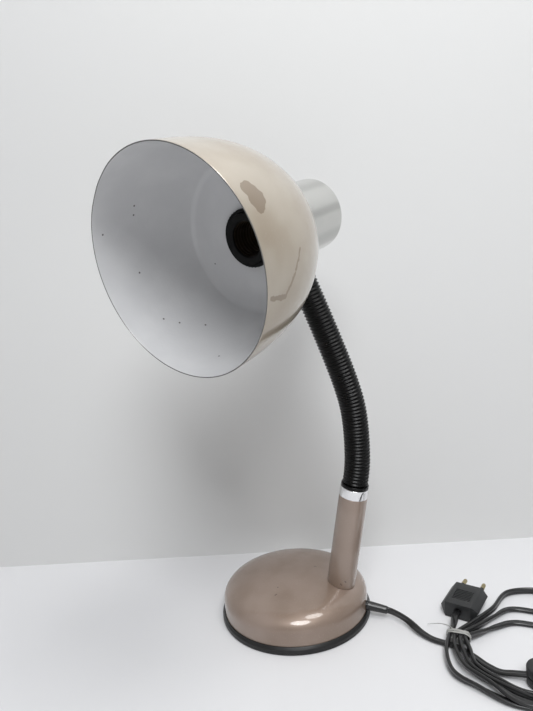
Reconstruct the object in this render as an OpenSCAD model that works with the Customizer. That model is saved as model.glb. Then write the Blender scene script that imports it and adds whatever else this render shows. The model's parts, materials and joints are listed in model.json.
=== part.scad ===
// Gooseneck desk lamp: a weighted round foot with a leaning pillar, a ribbed bendable
// neck of ball-seated links, and a spun bowl shade on an aluminium cup.
// Origin: centre of the foot's underside. +Z up, +X to the rear, where the pillar stands.

/* [Foot] */
// Outside diameter of the foot ring
foot_d = 144; // [130:1:170]
// Height at which the foot ring's lip ends on the shell
foot_h = 6.5; // [5.5:0.5:8]
// How far the foot ring stands proud of the shell
foot_proud = 2.5; // [1.5:0.1:4]
// Height of the shell's straight wall
shell_side_h = 16; // [14:0.5:22]
// Rise of the shell's dome above its wall
dome_h = 23; // [20:0.5:30]
// Roundness of the dome's shoulder, 2 is an ellipse
dome_power = 2.46; // [2:0.02:3]
// Sheet thickness of the base shell
shell_t = 1.2; // [0.8:0.1:2]
// Thickness of the felt pad under the foot
felt_t = 2; // [1.5:0.1:3]
// Thickness of the bottom plate
plate_t = 1.2; // [0.8:0.1:2]
// Distance from the foot's rim to the cast iron weight
ballast_inset = 20; // [19:0.5:30]
// Thickness of the cast iron weight
ballast_t = 17; // [10:0.5:19]

/* [Pillar] */
// Distance from the foot's rear rim to the pillar's middle
pillar_inset = 24; // [20:0.5:30]
// Backward lean of the pillar in degrees
pillar_lean = 11.4; // [0:0.2:16]
// Outside diameter of the pillar tube
pillar_d = 26; // [25:0.5:32]
// Wall of the pillar tube
pillar_t = 1.2; // [0.8:0.1:2]
// Length of the painted pillar tube, measured on its axis
pillar_len = 86.9; // [50:0.1:120]
// Height of the chromed collar on top of the pillar
collar_h = 9; // [6:0.5:14]

/* [Neck] */
// Outside diameter of the ribbed sleeve
neck_d = 23; // [20:0.5:25]
// Diameter of the steel hose inside the sleeve
hose_d = 15; // [12:0.5:16]
// Diameter of the wire way through the hose
wire_way_d = 9; // [7:0.5:10]
// Distance from one bend of the neck to the next
neck_pitch = 28; // [24:1:36]
// Distance from the collar to the first bend
neck_first = 20; // [16:1:30]
// Distance from the last bend to the neck's end
neck_last = 21; // [20:1:30]
// Spacing of the sleeve's ribs
rib_pitch = 3.1; // [2.5:0.1:4]
// Depth of the sleeve's ribs
rib_depth = 0.9; // [0.5:0.1:1.2]
// Forward bend at each of the seven joints, in degrees
fore_bend = [8.5, 4.3, 10.3, 3.5, 0.8, 1, 0];
// Sideways bend at each of the seven joints, in degrees
side_bend = [3.3, 2.5, 3, 1.2, 0.3, 0, -0.3];

/* [Head] */
// Turn of the head about the neck's end, in degrees
head_turn = 73.1; // [0:0.1:180]
// Diameter of the shade's open rim
shade_d = 160; // [140:1:200]
// Depth of the shade from its rim to its flat back
shade_depth = 88.8; // [80:0.1:110]
// Share of the rim's radius lost between rim and back
shade_taper = 0.24; // [0.15:0.002:0.3]
// How late the side curves in, 2 is a parabola
shade_power = 2.93; // [2:0.01:4]
// Sheet thickness of shade and cup
sheet_t = 0.8; // [0.6:0.1:1.2]
// Outside diameter of the aluminium cup
cup_d = 62; // [58:1:70]
// Length of the aluminium cup behind the shade
cup_len = 89.4; // [80:0.1:110]
// Distance from the shade's back to the neck's nipple
nipple_back = 38; // [34:0.5:44]
// Thickness of the saddle between neck and cup
saddle_t = 3; // [2:0.5:6]
// Diameter of the black ring that holds the shade
shade_ring_d = 46.6; // [44:0.2:56]
// Diameter of the lampholder's skirt
skirt_d = 40.4; // [38:0.2:42]
// Diameter of the lamp's screw socket, inside its thread
socket_d = 26.6; // [26:0.1:27]

/* [Cord] */
// Width of the flat twin cord
cord_d = 6; // [5:0.5:7]
// Height of the cord's exit above the floor
exit_z = 10.5; // [9:0.5:13]
// Turn of the cord's exit from straight back, in degrees
exit_turn = 4; // [-10:1:10]
// Length of the tapered strain relief
relief_len = 20; // [20:1:40]
// Width of the plug
plug_w = 34; // [32:0.5:36]
// Height of the plug
plug_h = 14; // [13:0.5:16]
// Length of the plug's body
plug_len = 37; // [34:0.5:42]
// Length of the cord switch
switch_len = 60; // [50:1:70]
// Width of the cord switch
switch_w = 22; // [20:1:28]
// Height of the cord switch
switch_h = 15; // [14:0.5:18]

/* [Hidden] */
$fn = 64;

// Clearances: a slip fit, a turning fit and the gap left between curved faces
slip = 0.05;
turning = 0.08;
gap = 0.3;

// Foot
foot_r = foot_d / 2;
shell_r = foot_r - foot_proud;
lip_r = shell_r + 0.7;
groove_t = 0.05;
ring_lip_t = 2;
plate_r = shell_r - shell_t - groove_t - ring_lip_t - slip;
ring_in_r = plate_r - 4;
plate_z = felt_t;
ballast_z = plate_z + plate_t;
ballast_r = foot_r - ballast_inset;
screw_circle_r = ring_in_r - 5;
lug_in_r = ballast_r + 0.6;
lug_h = 8;
m4_r = 2;
m4_head_r = 3.5;
m6_r = 3;

// Dome of the shell: height of its outside at radius r, and its profile from rim to centre
function dome_z(r) =
    shell_side_h + dome_h * pow(1 - pow(r / shell_r, dome_power), 1 / dome_power);
function dome_arc(a, b, steps = 26) = [
    for (i = [0:steps]) let (t = 90 * i / steps)
        [a * pow(cos(t), 2 / dome_power), shell_side_h + b * pow(sin(t), 2 / dome_power)]
];
pillar_x = foot_r - pillar_inset;
pillar_z = dome_z(pillar_x);

// Pillar, measured upwards on its own axis from the dome
collar_top = pillar_len + collar_h;
spigot_h = 12;
pillar_r = pillar_d / 2;
tube_in_r = pillar_r - pillar_t;
nipple_r = 5;
nipple_in_r = 3.3;
nut_across = 17;
nut_t = 4.4;
washer_t = 1.5;
washer_r = 8;
// The washer's rim just clears the dome, which falls away on both sides of the pillar
washer_top = -shell_t - 1;
plug_top = 16;
nipple_low = washer_top - washer_t - nut_t - 2;

// Neck
neck_r = neck_d / 2;
hose_r = hose_d / 2;
sleeve_in_r = hose_r + 0.2;
ball_r = neck_r - gap;
socket_r = neck_r;
skirt_low = 2.5;
skirt_top = 5.2;
neck_in = 3.4;
cuff_r = neck_r + 0.9;
cuff_h = 3;
links = len(fore_bend) + 1;
bush_flange = 5;
bush_low = ball_r + 2 * gap;

// Head, measured along the cup's axis from the shade's rim
shade_r = shade_d / 2;
back_fillet = 4;
cup_r = cup_d / 2;
cup_end = shade_depth + cup_len;
cup_fillet = 3;
nipple_d = shade_depth + nipple_back;
skirt_r = skirt_d / 2;
socket_r_in = socket_d / 2;
shell_sheet = 0.5;
ring_t = 4;
mouth_lip = 2;
back_in = shade_depth - sheet_t;
skirt_front = back_in - ring_t - mouth_lip;
flange_t = 2.5;
screw_len = 28;
shell_back = skirt_front + screw_len;
// The screw shell stops short of the centre contact
contact_room = 2;
insert_t = 9;
skirt_back = shell_back + 4;
cap_len = 24;
cap_back = skirt_back + cap_len;
bracket_t = 1.5;
bracket_w = 16;
bracket_x = sqrt(pow(cup_r - sheet_t, 2) - pow(bracket_w / 2, 2)) - slip;
swivel_end = bracket_x - bracket_t - 1 - nut_t - 1;

// Cord
exit_r = shell_r;
relief_tilt = 8;
relief_in = shell_t + 1.1;
relief_neck_r = cord_d / 2 + 0.9;
relief_flange_r = relief_neck_r + 1.2;
relief_flange_t = 3;
inner_cord_r = 2.7;
stop_len = 6;
plug_at = [149, 22];
plug_turn = 77;
pin_spread = 9.3;
pin_r = 1.95;
pin_toe_in = 1.7;
switch_at = [233, -44];
switch_turn = -2;
coil_h = 10;
tie_at = [142.5, -13.5];
tie_in = [19, 6];
tie_t = 0.8;

function relief_tip(past) = let (reach = exit_r + (relief_len + past) * cos(relief_tilt))
    [reach * cos(exit_turn), reach * sin(exit_turn),
     exit_z - (relief_len + past) * sin(relief_tilt)];
function on_pillar(t) = [pillar_x + t * sin(pillar_lean), 0, pillar_z + t * cos(pillar_lean)];
function on_plug(t) = [plug_at.x + t * cos(plug_turn), plug_at.y + t * sin(plug_turn), plug_h / 2];

// Route of the lead over the floor, from the strain relief to the tied coil
lead_route = [
    relief_tip(-1), relief_tip(2), [97, 5, 6.4], [103, 2, 5.3], [109, -2, 4.3], [115, -6.5, 3.6],
    [121, -10.5, 3.2], [128, -14, 3], [135, -16.3, 3], [144, -17, 3]
];
// Route of the short end from the coil to the plug
tail_route = [[152, -6, 6], [149.5, 0, 7], [147.6, 7, 7.2], on_plug(-8), on_plug(-3), on_plug(1)];
// Route of the lead inside the foot and up the pillar
inner_route = [
    relief_tip(3 - relief_len), relief_tip(-relief_len - 12), [pillar_x + 5.5, 3.5, 13.6],
    [pillar_x + 1.5, 2.8, 16.8], [pillar_x - 1, 1.5, 20.8], on_pillar(nipple_low - 1), on_pillar(0),
    on_pillar(20), on_pillar(collar_top - 36),
    on_pillar(collar_top - 16)
];
// Outside and inside of the tied coil, going round from the tie
coil_out = [
    [143, -8], [149, 3], [158, 14], [169, 27], [178, 43], [186, 63], [197, 79], [212, 84],
    [243, 78], [280, 60], [304, 33], [312, 2], [301, -31], [270, -58], [230, -72], [200, -73],
    [178, -62], [158, -54], [146, -40], [141, -23]
];
coil_in = [
    [160, -15], [170, -4], [182, 10], [193, 21], [211, 24], [246, 20], [272, 5], [274, -15],
    [253, -31], [212, -36], [190, -37], [176, -31], [166, -23]
];

// Rigid moves as matrices
function shift(v) = [[1, 0, 0, v.x], [0, 1, 0, v.y], [0, 0, 1, v.z], [0, 0, 0, 1]];
function turn_x(a) = [[1, 0, 0, 0], [0, cos(a), -sin(a), 0], [0, sin(a), cos(a), 0], [0, 0, 0, 1]];
function turn_y(a) = [[cos(a), 0, sin(a), 0], [0, 1, 0, 0], [-sin(a), 0, cos(a), 0], [0, 0, 0, 1]];
function turn_z(a) = [[cos(a), -sin(a), 0, 0], [sin(a), cos(a), 0, 0], [0, 0, 1, 0], [0, 0, 0, 1]];
function pillar_frame(t) = shift([pillar_x, 0, pillar_z]) * turn_y(pillar_lean) * shift([0, 0, t]);
// Frame of link i of the neck: its origin is the joint below it
function link_frame(i) = i == 1
    ? pillar_frame(collar_top)
    : link_frame(i - 1) * shift([0, 0, i == 2 ? neck_first : neck_pitch])
        * turn_y(-fore_bend[i - 2]) * turn_x(side_bend[i - 2]);
// Frame of the head: Z runs from the rim's centre to the cup's end, X points at the neck
function head_frame() = link_frame(links) * shift([0, 0, neck_last + saddle_t + cup_r])
    * turn_z(head_turn) * turn_y(90) * shift([0, 0, -nipple_d]);

// A flat ring or tube standing on z = low
module tube(outer, inner, low, high) {
    translate([0, 0, low]) difference() {
        cylinder(r = outer, h = high - low);
        translate([0, 0, -1]) cylinder(r = inner, h = high - low + 2);
    }
}

// A hexagonal nut with a plain bore, flats up and down
module hex_nut(across, bore, low, high) {
    translate([0, 0, low]) difference() {
        cylinder(r = across / 2 / cos(30), h = high - low, $fn = 6);
        translate([0, 0, -1]) cylinder(r = bore, h = high - low + 2);
    }
}

// Pan-head screw along +Z, its head's underside at z = 0
module screw(r, len, head_r, head_h) {
    cylinder(r = r, h = len);
    translate([0, 0, -head_h]) difference() {
        cylinder(r = head_r, h = head_h);
        translate([-head_r, -0.4, -0.1]) cube([2 * head_r, 0.8, 0.9]);
    }
}

// Solid of the dome down to the floor, used to cut what stands on it
module dome_solid(grow) {
    rotate_extrude() polygon(concat(
        [[0, -20], [shell_r + grow, -20]], dome_arc(shell_r + grow, dome_h + grow)));
}

// A tube of n sides swept along points, whose rings stand square to it and level with up
function unit(v) = v / norm(v);
function heading(p, i) = unit(p[min(i + 1, len(p) - 1)] - p[max(i - 1, 0)]);
function ring_at(p, h, r, n, up) = let (s = unit(cross(up, h)), u = cross(h, s))
    [for (k = [0:n - 1]) p + r * (cos(360 * k / n) * s + sin(360 * k / n) * u)];
module swept_tube(p, r, n = 8, up = [0, 0, 1]) {
    m = len(p);
    polyhedron(
        points = [for (i = [0:m - 1]) each ring_at(p[i], heading(p, i), r, n, up)],
        faces = concat(
            [[for (k = [0:n - 1]) k]],
            [for (i = [0:m - 2], k = [0:n - 1])
                [i * n + k, (i + 1) * n + k, (i + 1) * n + (k + 1) % n, i * n + (k + 1) % n]],
            [[for (k = [0:n - 1]) m * n - 1 - k]]
        )
    );
}
// Points of a smooth curve through a route, a few between each pair
function between(a, b, c, d, t) = 0.5 * ((2 * b) + (c - a) * t + (2 * a - 5 * b + 4 * c - d) * t * t
    + (3 * b - a - 3 * c + d) * t * t * t);
function smooth(p, cuts = 2) = let (last = len(p) - 1) concat(
    [for (i = [0:last - 1], k = [0:cuts - 1])
        between(p[max(i - 1, 0)], p[i], p[i + 1], p[min(i + 2, last)], k / cuts)],
    [p[last]]);

// Points of a smooth closed curve through a loop of points
function smooth_loop(p, cuts = 3) = let (n = len(p)) [
    for (i = [0:n - 1], k = [0:cuts - 1])
        between(p[(i + n - 1) % n], p[i], p[(i + 1) % n], p[(i + 2) % n], k / cuts)];

// ---- Foot ----

// Felt disc flush with the ring's underside, with holes for the screw heads
module felt_pad() {
    color("dimgray") difference() {
        cylinder(r = ring_in_r - gap, h = felt_t);
        for (a = [60, 180, 300]) rotate([0, 0, a])
            translate([screw_circle_r, 0, -1]) cylinder(r = m4_head_r + 0.3, h = felt_t + 2);
        translate([0, 0, 0.6]) cylinder(r = 5.8, h = felt_t);
    }
}

// Black moulded ring: a floor for the plate, a groove for the shell and a rounded lip
module foot_ring() {
    floor_z = felt_t;
    in_wall = shell_r - shell_t - groove_t;
    color([0.08, 0.08, 0.08]) rotate_extrude() polygon([
        [ring_in_r, 0], [foot_r - 0.8, 0], [foot_r - 0.2, 0.3], [foot_r, 0.9],
        [foot_r, foot_h * 0.5], [foot_r - 0.5, foot_h * 0.78], [lip_r, foot_h],
        [shell_r + groove_t, foot_h], [shell_r + groove_t, floor_z], [in_wall, floor_z],
        [in_wall, foot_h - 1], [in_wall - ring_lip_t, foot_h - 1], [in_wall - ring_lip_t, floor_z],
        [ring_in_r, floor_z]]);
}

// Sheet steel plate that closes the foot and carries the weight
module bottom_plate() {
    color("silver") translate([0, 0, plate_z]) difference() {
        cylinder(r = plate_r, h = plate_t);
        for (a = [60, 180, 300]) rotate([0, 0, a])
            translate([screw_circle_r, 0, -1]) cylinder(r = m4_r + slip, h = plate_t + 2);
        translate([0, 0, -1]) cylinder(r = m6_r + slip, h = plate_t + 2);
    }
}

module plate_screws() {
    color("silver") for (a = [60, 180, 300]) rotate([0, 0, a])
        translate([screw_circle_r, 0, plate_z]) screw(m4_r, plate_t + lug_h - 1, m4_head_r, 1.8);
}

// Cast iron disc with a pocket under the pillar for its nut and the lead
module ballast() {
    color([0.25, 0.25, 0.27]) translate([0, 0, ballast_z]) difference() {
        union() {
            cylinder(r = ballast_r, h = ballast_t - 1);
            translate([0, 0, ballast_t - 1]) cylinder(r1 = ballast_r, r2 = ballast_r - 1, h = 1);
        }
        translate([pillar_x, 0, -1]) cylinder(r = 18, h = ballast_t + 2);
        translate([0, 0, -1]) cylinder(r = m6_r + slip, h = 12);
    }
}

module ballast_bolt() {
    color("silver") translate([0, 0, plate_z]) {
        cylinder(r = m6_r, h = plate_t + 10);
        translate([0, 0, -1.3]) cylinder(r = 5.4, h = 1.3);
    }
}

// Pressed steel shell: straight wall, rounded shoulder, low crown, and three screw lugs
module base_shell() {
    in_r = shell_r - shell_t;
    inside = dome_arc(in_r, dome_h - shell_t);
    lug_out_r = shell_r - 0.4;
    color([0.62, 0.53, 0.49]) difference() {
        union() {
            rotate_extrude() polygon(concat(
                [[in_r, plate_z], [shell_r, plate_z]], dome_arc(shell_r, dome_h),
                [for (i = [len(inside) - 1:-1:0]) inside[i]]));
            for (a = [60, 180, 300]) rotate([0, 0, a]) intersection() {
                translate([lug_in_r, -6, ballast_z]) cube([shell_r, 12, lug_h]);
                union() {
                    cylinder(r = plate_r - gap, h = shell_side_h);
                    translate([0, 0, foot_h - 1 + gap]) cylinder(r = lug_out_r, h = shell_side_h);
                }
            }
        }
        for (a = [60, 180, 300]) rotate([0, 0, a])
            translate([screw_circle_r, 0, -1]) cylinder(r = m4_r + slip, h = ballast_z + lug_h + 2);
        at_exit() cylinder(r = relief_neck_r + slip, h = 20, center = true);
        multmatrix(pillar_frame(0)) cylinder(r = nipple_r + turning, h = 16, center = true);
    }
}

// ---- Pillar ----

// Painted tube, cut to sit square on the curved dome
module pillar_tube() {
    color([0.62, 0.53, 0.49]) difference() {
        multmatrix(pillar_frame(0)) tube(pillar_r, tube_in_r, -4, pillar_len);
        dome_solid(slip);
    }
}

// Turned plug in the tube's lower end that takes the threaded nipple
module pillar_plug() {
    color("darkgray") multmatrix(pillar_frame(0)) tube(tube_in_r - slip, nipple_r + slip, gap, plug_top);
}

// Threaded hollow nipple that ties pillar and shell together and lets the lead through
module pillar_nipple() {
    color("goldenrod") multmatrix(pillar_frame(0)) tube(nipple_r, nipple_in_r, nipple_low, plug_top - 1);
}

module pillar_washer() {
    color("silver") multmatrix(pillar_frame(0))
        tube(washer_r, nipple_r + slip, washer_top - washer_t, washer_top);
}

module pillar_nut() {
    color("silver") multmatrix(pillar_frame(0))
        hex_nut(nut_across, nipple_r + slip, washer_top - washer_t - nut_t, washer_top - washer_t);
}

// Chromed collar: a ring flush with the tube, on a spigot inside it
module collar() {
    color("gainsboro") multmatrix(pillar_frame(pillar_len)) difference() {
        rotate_extrude() polygon([
            [0, -spigot_h], [tube_in_r - slip, -spigot_h], [tube_in_r - slip, 0], [pillar_r - 0.3, 0],
            [pillar_r, 0.3], [pillar_r, collar_h - 0.4], [pillar_r - 0.4, collar_h], [0, collar_h]]);
        translate([0, 0, -spigot_h - 1]) cylinder(r = hose_r + slip, h = spigot_h + collar_h + 2);
    }
}

// ---- Neck ----

// Profile of the ribbed outside between two heights
function ribs(low, high) = let (n = floor((high - low) / rib_pitch), pitch = (high - low) / n) [
    for (i = [0:n - 1]) each [
        [neck_r - rib_depth, low + pitch * i + 0.15 * pitch],
        [neck_r - 0.15, low + pitch * (i + 0.4)], [neck_r, low + pitch * (i + 0.55)],
        [neck_r - 0.15, low + pitch * (i + 0.7)],
        [neck_r - rib_depth, low + pitch * (i + 0.95)]]
];

// Upper end of link i, above its own origin
function link_top(i) = i == 1 ? neck_first : (i == links ? neck_last - bush_flange : neck_pitch);

// One link of the black ribbed sleeve: a ball on top, a seat for the ball below it
module neck_sleeve(i) {
    top = link_top(i);
    last = i == links;
    low = i == 1 ? 0 : skirt_low;
    high = last ? top - cuff_h : top - neck_in;
    start = i == 1
        ? [[sleeve_in_r, 0], [cuff_r - 0.4, 0], [cuff_r, 0.4], [cuff_r, cuff_h - 0.8], [neck_r, cuff_h]]
        : [[sleeve_in_r, low], [neck_r, low], [neck_r, skirt_top]];
    end = last
        ? [[neck_r, high], [cuff_r, high + 0.8], [cuff_r, top], [sleeve_in_r, top]]
        : [[ball_r, high], [ball_r, top], [sleeve_in_r, top]];
    color([0.07, 0.07, 0.07]) multmatrix(link_frame(i)) difference() {
        union() {
            rotate_extrude() polygon(concat(
                start, ribs(i == 1 ? cuff_h : skirt_top, high), end));
            if (!last) ball_cap(top, sleeve_in_r, ball_r);
        }
        if (i > 1) sphere(r = socket_r);
    }
}

// The part of a ball above its middle, with a hole through it
module ball_cap(z, hole_r, r) {
    translate([0, 0, z]) difference() {
        sphere(r = r);
        translate([0, 0, -r - 1]) cylinder(r = r + 1, h = r + 1);
        translate([0, 0, -r - 1]) cylinder(r = hole_r, h = 2 * r + 2);
    }
}

// One link of the steel hose, ended by the same ball and seat as its sleeve
module neck_hose(i) {
    top = link_top(i);
    last = i == links;
    color([0.5, 0.5, 0.52]) multmatrix(link_frame(i)) difference() {
        union() {
            tube(hose_r, wire_way_d / 2, i == 1 ? -collar_h - spigot_h + 1 : 0, top);
            if (!last) intersection() {
                tube(hose_r, wire_way_d / 2, top - 1, top + ball_r);
                translate([0, 0, top]) sphere(r = ball_r);
            }
        }
        if (i > 1) sphere(r = socket_r);
    }
}

// Turned end bush: a shank in the hose, a flange on the sleeve, and a thread for the nipple
module neck_bush() {
    seat = neck_last - bush_flange;
    color("darkgray") multmatrix(link_frame(links)) difference() {
        union() {
            translate([0, 0, seat]) cylinder(r = cuff_r - 0.4, h = bush_flange - slip);
            translate([0, 0, bush_low]) cylinder(r = wire_way_d / 2 - slip, h = seat - bush_low + 1);
        }
        cylinder(r = nipple_in_r - 0.3, h = neck_last);
        translate([0, 0, seat + 0.5]) cylinder(r = nipple_r + slip, h = bush_flange);
    }
}

// Parts on the neck's end are measured outwards on the neck's axis from the cup's axis
module at_swivel() {
    multmatrix(head_frame() * shift([0, 0, nipple_d]) * turn_y(90)) children();
}

// Hollow threaded nipple on which the head turns
module swivel_nipple() {
    color("goldenrod") at_swivel()
        tube(nipple_r, nipple_in_r, swivel_end, cup_r + saddle_t + bush_flange - 0.6);
}

module swivel_washer() {
    color("silver") at_swivel()
        tube(washer_r - 1, nipple_r + slip, bracket_x - bracket_t - 1, bracket_x - bracket_t - slip / 2);
}

module swivel_nut() {
    color("silver") at_swivel() hex_nut(nut_across - 1, nipple_r + slip,
        bracket_x - bracket_t - 1 - nut_t, bracket_x - bracket_t - 1);
}

// ---- Head ----

// Saddle with one face hollowed to the cup and one flat face for the neck to turn on
module cup_saddle() {
    color([0.1, 0.1, 0.1]) multmatrix(head_frame()) difference() {
        translate([0, 0, nipple_d]) rotate([0, 90, 0]) cylinder(r = neck_r, h = cup_r + saddle_t);
        cylinder(r = cup_r + slip, h = cup_end);
        translate([0, 0, nipple_d]) rotate([0, 90, 0])
            cylinder(r = nipple_r + turning, h = cup_r + saddle_t + 1);
    }
}

// Spun aluminium cup with a closed, rounded end
module cup() {
    arc = [for (t = [0:15:90]) [cup_r - cup_fillet + cup_fillet * cos(t),
        cup_end - cup_fillet + cup_fillet * sin(t)]];
    in_fillet = cup_fillet - sheet_t;
    in_arc = [for (t = [90:-15:0]) [cup_r - cup_fillet + in_fillet * cos(t),
        cup_end - cup_fillet + in_fillet * sin(t)]];
    color("lightgray") multmatrix(head_frame()) difference() {
        rotate_extrude() polygon(concat(
            [[cup_r - sheet_t, shade_depth + slip], [cup_r, shade_depth + slip]], arc,
            [[0, cup_end], [0, cup_end - sheet_t]], in_arc));
        translate([0, 0, nipple_d]) rotate([0, 90, 0])
            cylinder(r = nipple_r + turning, h = cup_r + 1);
    }
}

// Side of the shade: its radius at a share s of its depth, for a surface w inside the outside
function bowl_side(w, steps = 20) = [
    for (i = [0:steps]) let (s = 1 - pow(1 - i / steps, 1.4), last_s = 1 - back_fillet / shade_depth)
        [(shade_r - w) * (1 - shade_taper * pow(s * last_s, shade_power)), s * last_s * shade_depth]
];
function bowl_corner(w) = let (side = bowl_side(w), p = side[len(side) - 1], f = back_fillet)
    [for (t = [15:15:90]) [p.x - (1 - cos(t)) * f - sin(t) * f * 0.35, p.y + (f - w) * sin(t)]];

// Spun bowl shade with a flat back and a round hole for the lampholder
module shade() {
    outer = concat(bowl_side(0), bowl_corner(0));
    inner = concat(bowl_side(sheet_t), bowl_corner(sheet_t));
    color([0.8, 0.77, 0.71]) multmatrix(head_frame()) rotate_extrude() polygon(concat(
        outer, [[skirt_r + 0.15, shade_depth], [skirt_r + 0.15, back_in]],
        [for (i = [len(inner) - 1:-1:0]) inner[i]]));
}

// Black threaded ring that clamps the shade on the lampholder
module shade_ring() {
    r = shade_ring_d / 2;
    color([0.05, 0.05, 0.05]) multmatrix(head_frame()) rotate_extrude() polygon([
        [skirt_r + slip, back_in - ring_t], [r - 1.2, back_in - ring_t], [r, back_in - ring_t + 1.2],
        [r, back_in], [skirt_r + slip, back_in]]);
}

// Front shell of the lampholder: a mouth, a thread for the ring and a flange behind the shade
module holder_skirt() {
    flange_r = skirt_r + 2.6;
    bore_r = socket_r_in + shell_sheet + slip;
    color([0.05, 0.05, 0.05]) multmatrix(head_frame()) rotate_extrude() polygon([
        [bore_r, skirt_front + 0.8], [bore_r + 0.8, skirt_front], [skirt_r - 1, skirt_front],
        [skirt_r, skirt_front + 1], [skirt_r, shade_depth + slip], [flange_r, shade_depth + slip],
        [flange_r, shade_depth + flange_t], [skirt_r, shade_depth + flange_t + 1],
        [skirt_r, skirt_back], [skirt_r - 2.4, skirt_back], [skirt_r - 2.4, shell_back],
        [bore_r, shell_back]]);
}

// Rear shell of the lampholder, drawn in to the nipple's thread
module holder_cap() {
    wall = 2.4;
    color([0.05, 0.05, 0.05]) multmatrix(head_frame()) rotate_extrude() polygon([
        [skirt_r - wall, skirt_back + slip], [skirt_r, skirt_back + slip], [skirt_r, skirt_back + 11],
        [skirt_r - 2, skirt_back + 16], [11, cap_back - 4], [10, cap_back],
        [nipple_r + slip, cap_back], [nipple_r + slip, cap_back - 6],
        [skirt_r - wall - 3, skirt_back + 14], [skirt_r - wall, skirt_back + 10]]);
}

// Porcelain disc that carries the contacts
module holder_insert() {
    color("ivory") multmatrix(head_frame()) difference() {
        translate([0, 0, shell_back + slip]) cylinder(r = skirt_r - 2.4 - slip, h = insert_t);
        translate([0, 0, shell_back - 1]) cylinder(r = 1.6, h = insert_t + 3);
        for (y = [-9, 9]) translate([0, y, shell_back + insert_t - 4])
            cylinder(r = 1.5 + slip, h = 6);
    }
}

// Brass screw socket for the lamp
module screw_shell() {
    color("goldenrod") multmatrix(head_frame())
        tube(socket_r_in + shell_sheet, socket_r_in, skirt_front + 2, shell_back - contact_room);
}

// Spring tongue on a rivet in the middle of the insert
module centre_contact() {
    color("goldenrod") multmatrix(head_frame()) {
        translate([0, 0, shell_back - 0.6]) cylinder(r = 3.2, h = 0.6);
        translate([0, 0, shell_back - 1.6]) cylinder(r = 2, h = 1.1);
        translate([0, 0, shell_back - 0.3]) cylinder(r = 1.5, h = insert_t + 0.3);
    }
}

module terminal_screws() {
    color("silver") multmatrix(head_frame()) for (y = [-9, 9])
        translate([0, y, shell_back + slip + insert_t]) {
            cylinder(r = 2.8, h = 1.8);
            translate([0, 0, -3]) cylinder(r = 1.5, h = 3.5);
        }
}

// Steel angle from the neck's nipple to the lampholder's nipple
module holder_bracket() {
    back = cap_back + bracket_t;
    leg_low = nipple_d - bracket_w / 2 - 2;
    color("silver") multmatrix(head_frame()) difference() {
        union() {
            translate([bracket_x - bracket_t, -bracket_w / 2, leg_low])
                cube([bracket_t, bracket_w, back - leg_low]);
            translate([0, -bracket_w / 2, cap_back]) cube([bracket_x, bracket_w, bracket_t]);
            translate([0, 0, cap_back]) cylinder(r = bracket_w / 2, h = bracket_t);
        }
        translate([0, 0, cap_back - 1]) cylinder(r = nipple_r + slip, h = bracket_t + 2);
        translate([bracket_x - 5, 0, nipple_d]) rotate([0, 90, 0])
            cylinder(r = nipple_r + turning, h = 10);
    }
}

module holder_nipple() {
    color("goldenrod") multmatrix(head_frame())
        tube(nipple_r, nipple_in_r, cap_back - 6, cap_back + bracket_t + nut_t + 1.5);
}

module holder_nut() {
    color("silver") multmatrix(head_frame()) hex_nut(nut_across - 2, nipple_r + slip,
        cap_back + bracket_t, cap_back + bracket_t + nut_t);
}

// ---- Cord ----
// Frame of the cord's exit: Z points out of the shell along the cord
module at_exit() {
    rotate([0, 0, exit_turn]) translate([exit_r, 0, exit_z]) rotate([0, 90 + relief_tilt, 0]) children();
}

// Tapered strain relief with a flange inside the shell
module cord_relief() {
    color([0.06, 0.06, 0.06]) at_exit() difference() {
        rotate_extrude() polygon([
            [0, -relief_in - relief_flange_t], [relief_flange_r, -relief_in - relief_flange_t],
            [relief_flange_r, -relief_in], [relief_neck_r, -relief_in], [relief_neck_r, 1.5],
            [cord_d / 2 + 0.5, relief_len], [0, relief_len]]);
        translate([0, 0, -20]) cylinder(r = inner_cord_r + slip, h = 23.2);
    }
}

// Ring on the lead just behind the relief's flange, which takes the cord's pull
module cord_stop() {
    back = -relief_in - relief_flange_t - 2 * slip;
    color("silver") at_exit() difference() {
        tube(relief_flange_r, inner_cord_r + slip, back - stop_len, back);
        translate([0, 0, back - stop_len / 2]) rotate([0, -90, 0]) cylinder(r = 1.5 + slip, h = 20);
    }
}

module stop_screw() {
    color("silver") at_exit() translate([0, 0, -relief_in - relief_flange_t - 2 * slip - stop_len / 2])
        rotate([0, -90, 0]) translate([0, 0, inner_cord_r + slip]) cylinder(r = 1.5, h = 3);
}

module inner_lead() {
    color([0.1, 0.1, 0.1]) swept_tube(smooth(inner_route), inner_cord_r, up = [0, 1, 0]);
}

module mains_cord() {
    color([0.08, 0.08, 0.08]) swept_tube(smooth(lead_route), cord_d / 2, 12);
}

module cord_tail() {
    color([0.08, 0.08, 0.08]) swept_tube(smooth(tail_route), cord_d / 2, 12);
}

// Closed outline of the tied coil, with room for the switch and the tie
module cord_coil() {
    color([0.08, 0.08, 0.08]) difference() {
        linear_extrude(coil_h) difference() {
            polygon(smooth_loop(coil_out));
            polygon(smooth_loop(coil_in));
        }
        switch_space();
        tie_loop(0.2);
    }
}

// Loop of the tie: a thin band round the coil's narrow end, with some room kept round it
module tie_loop(room = 0) {
    translate([tie_at.x, tie_at.y + tie_in.y + room, 0]) rotate([90, 0, 0])
        linear_extrude(tie_in.y + 2 * room) difference() {
            translate([-tie_t - room, -room]) square([tie_in.x + 2 * tie_t + 2 * room, coil_h + 2 * tie_t]);
            translate([room, tie_t + room])
                square([tie_in.x - 2 * room, coil_h - tie_t - 2 * room]);
        }
}

module cord_tie() {
    color([0.6, 0.6, 0.6]) tie_loop();
}

module at_plug() {
    translate([plug_at.x, plug_at.y, 0]) rotate([0, 0, plug_turn]) children();
}

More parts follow.
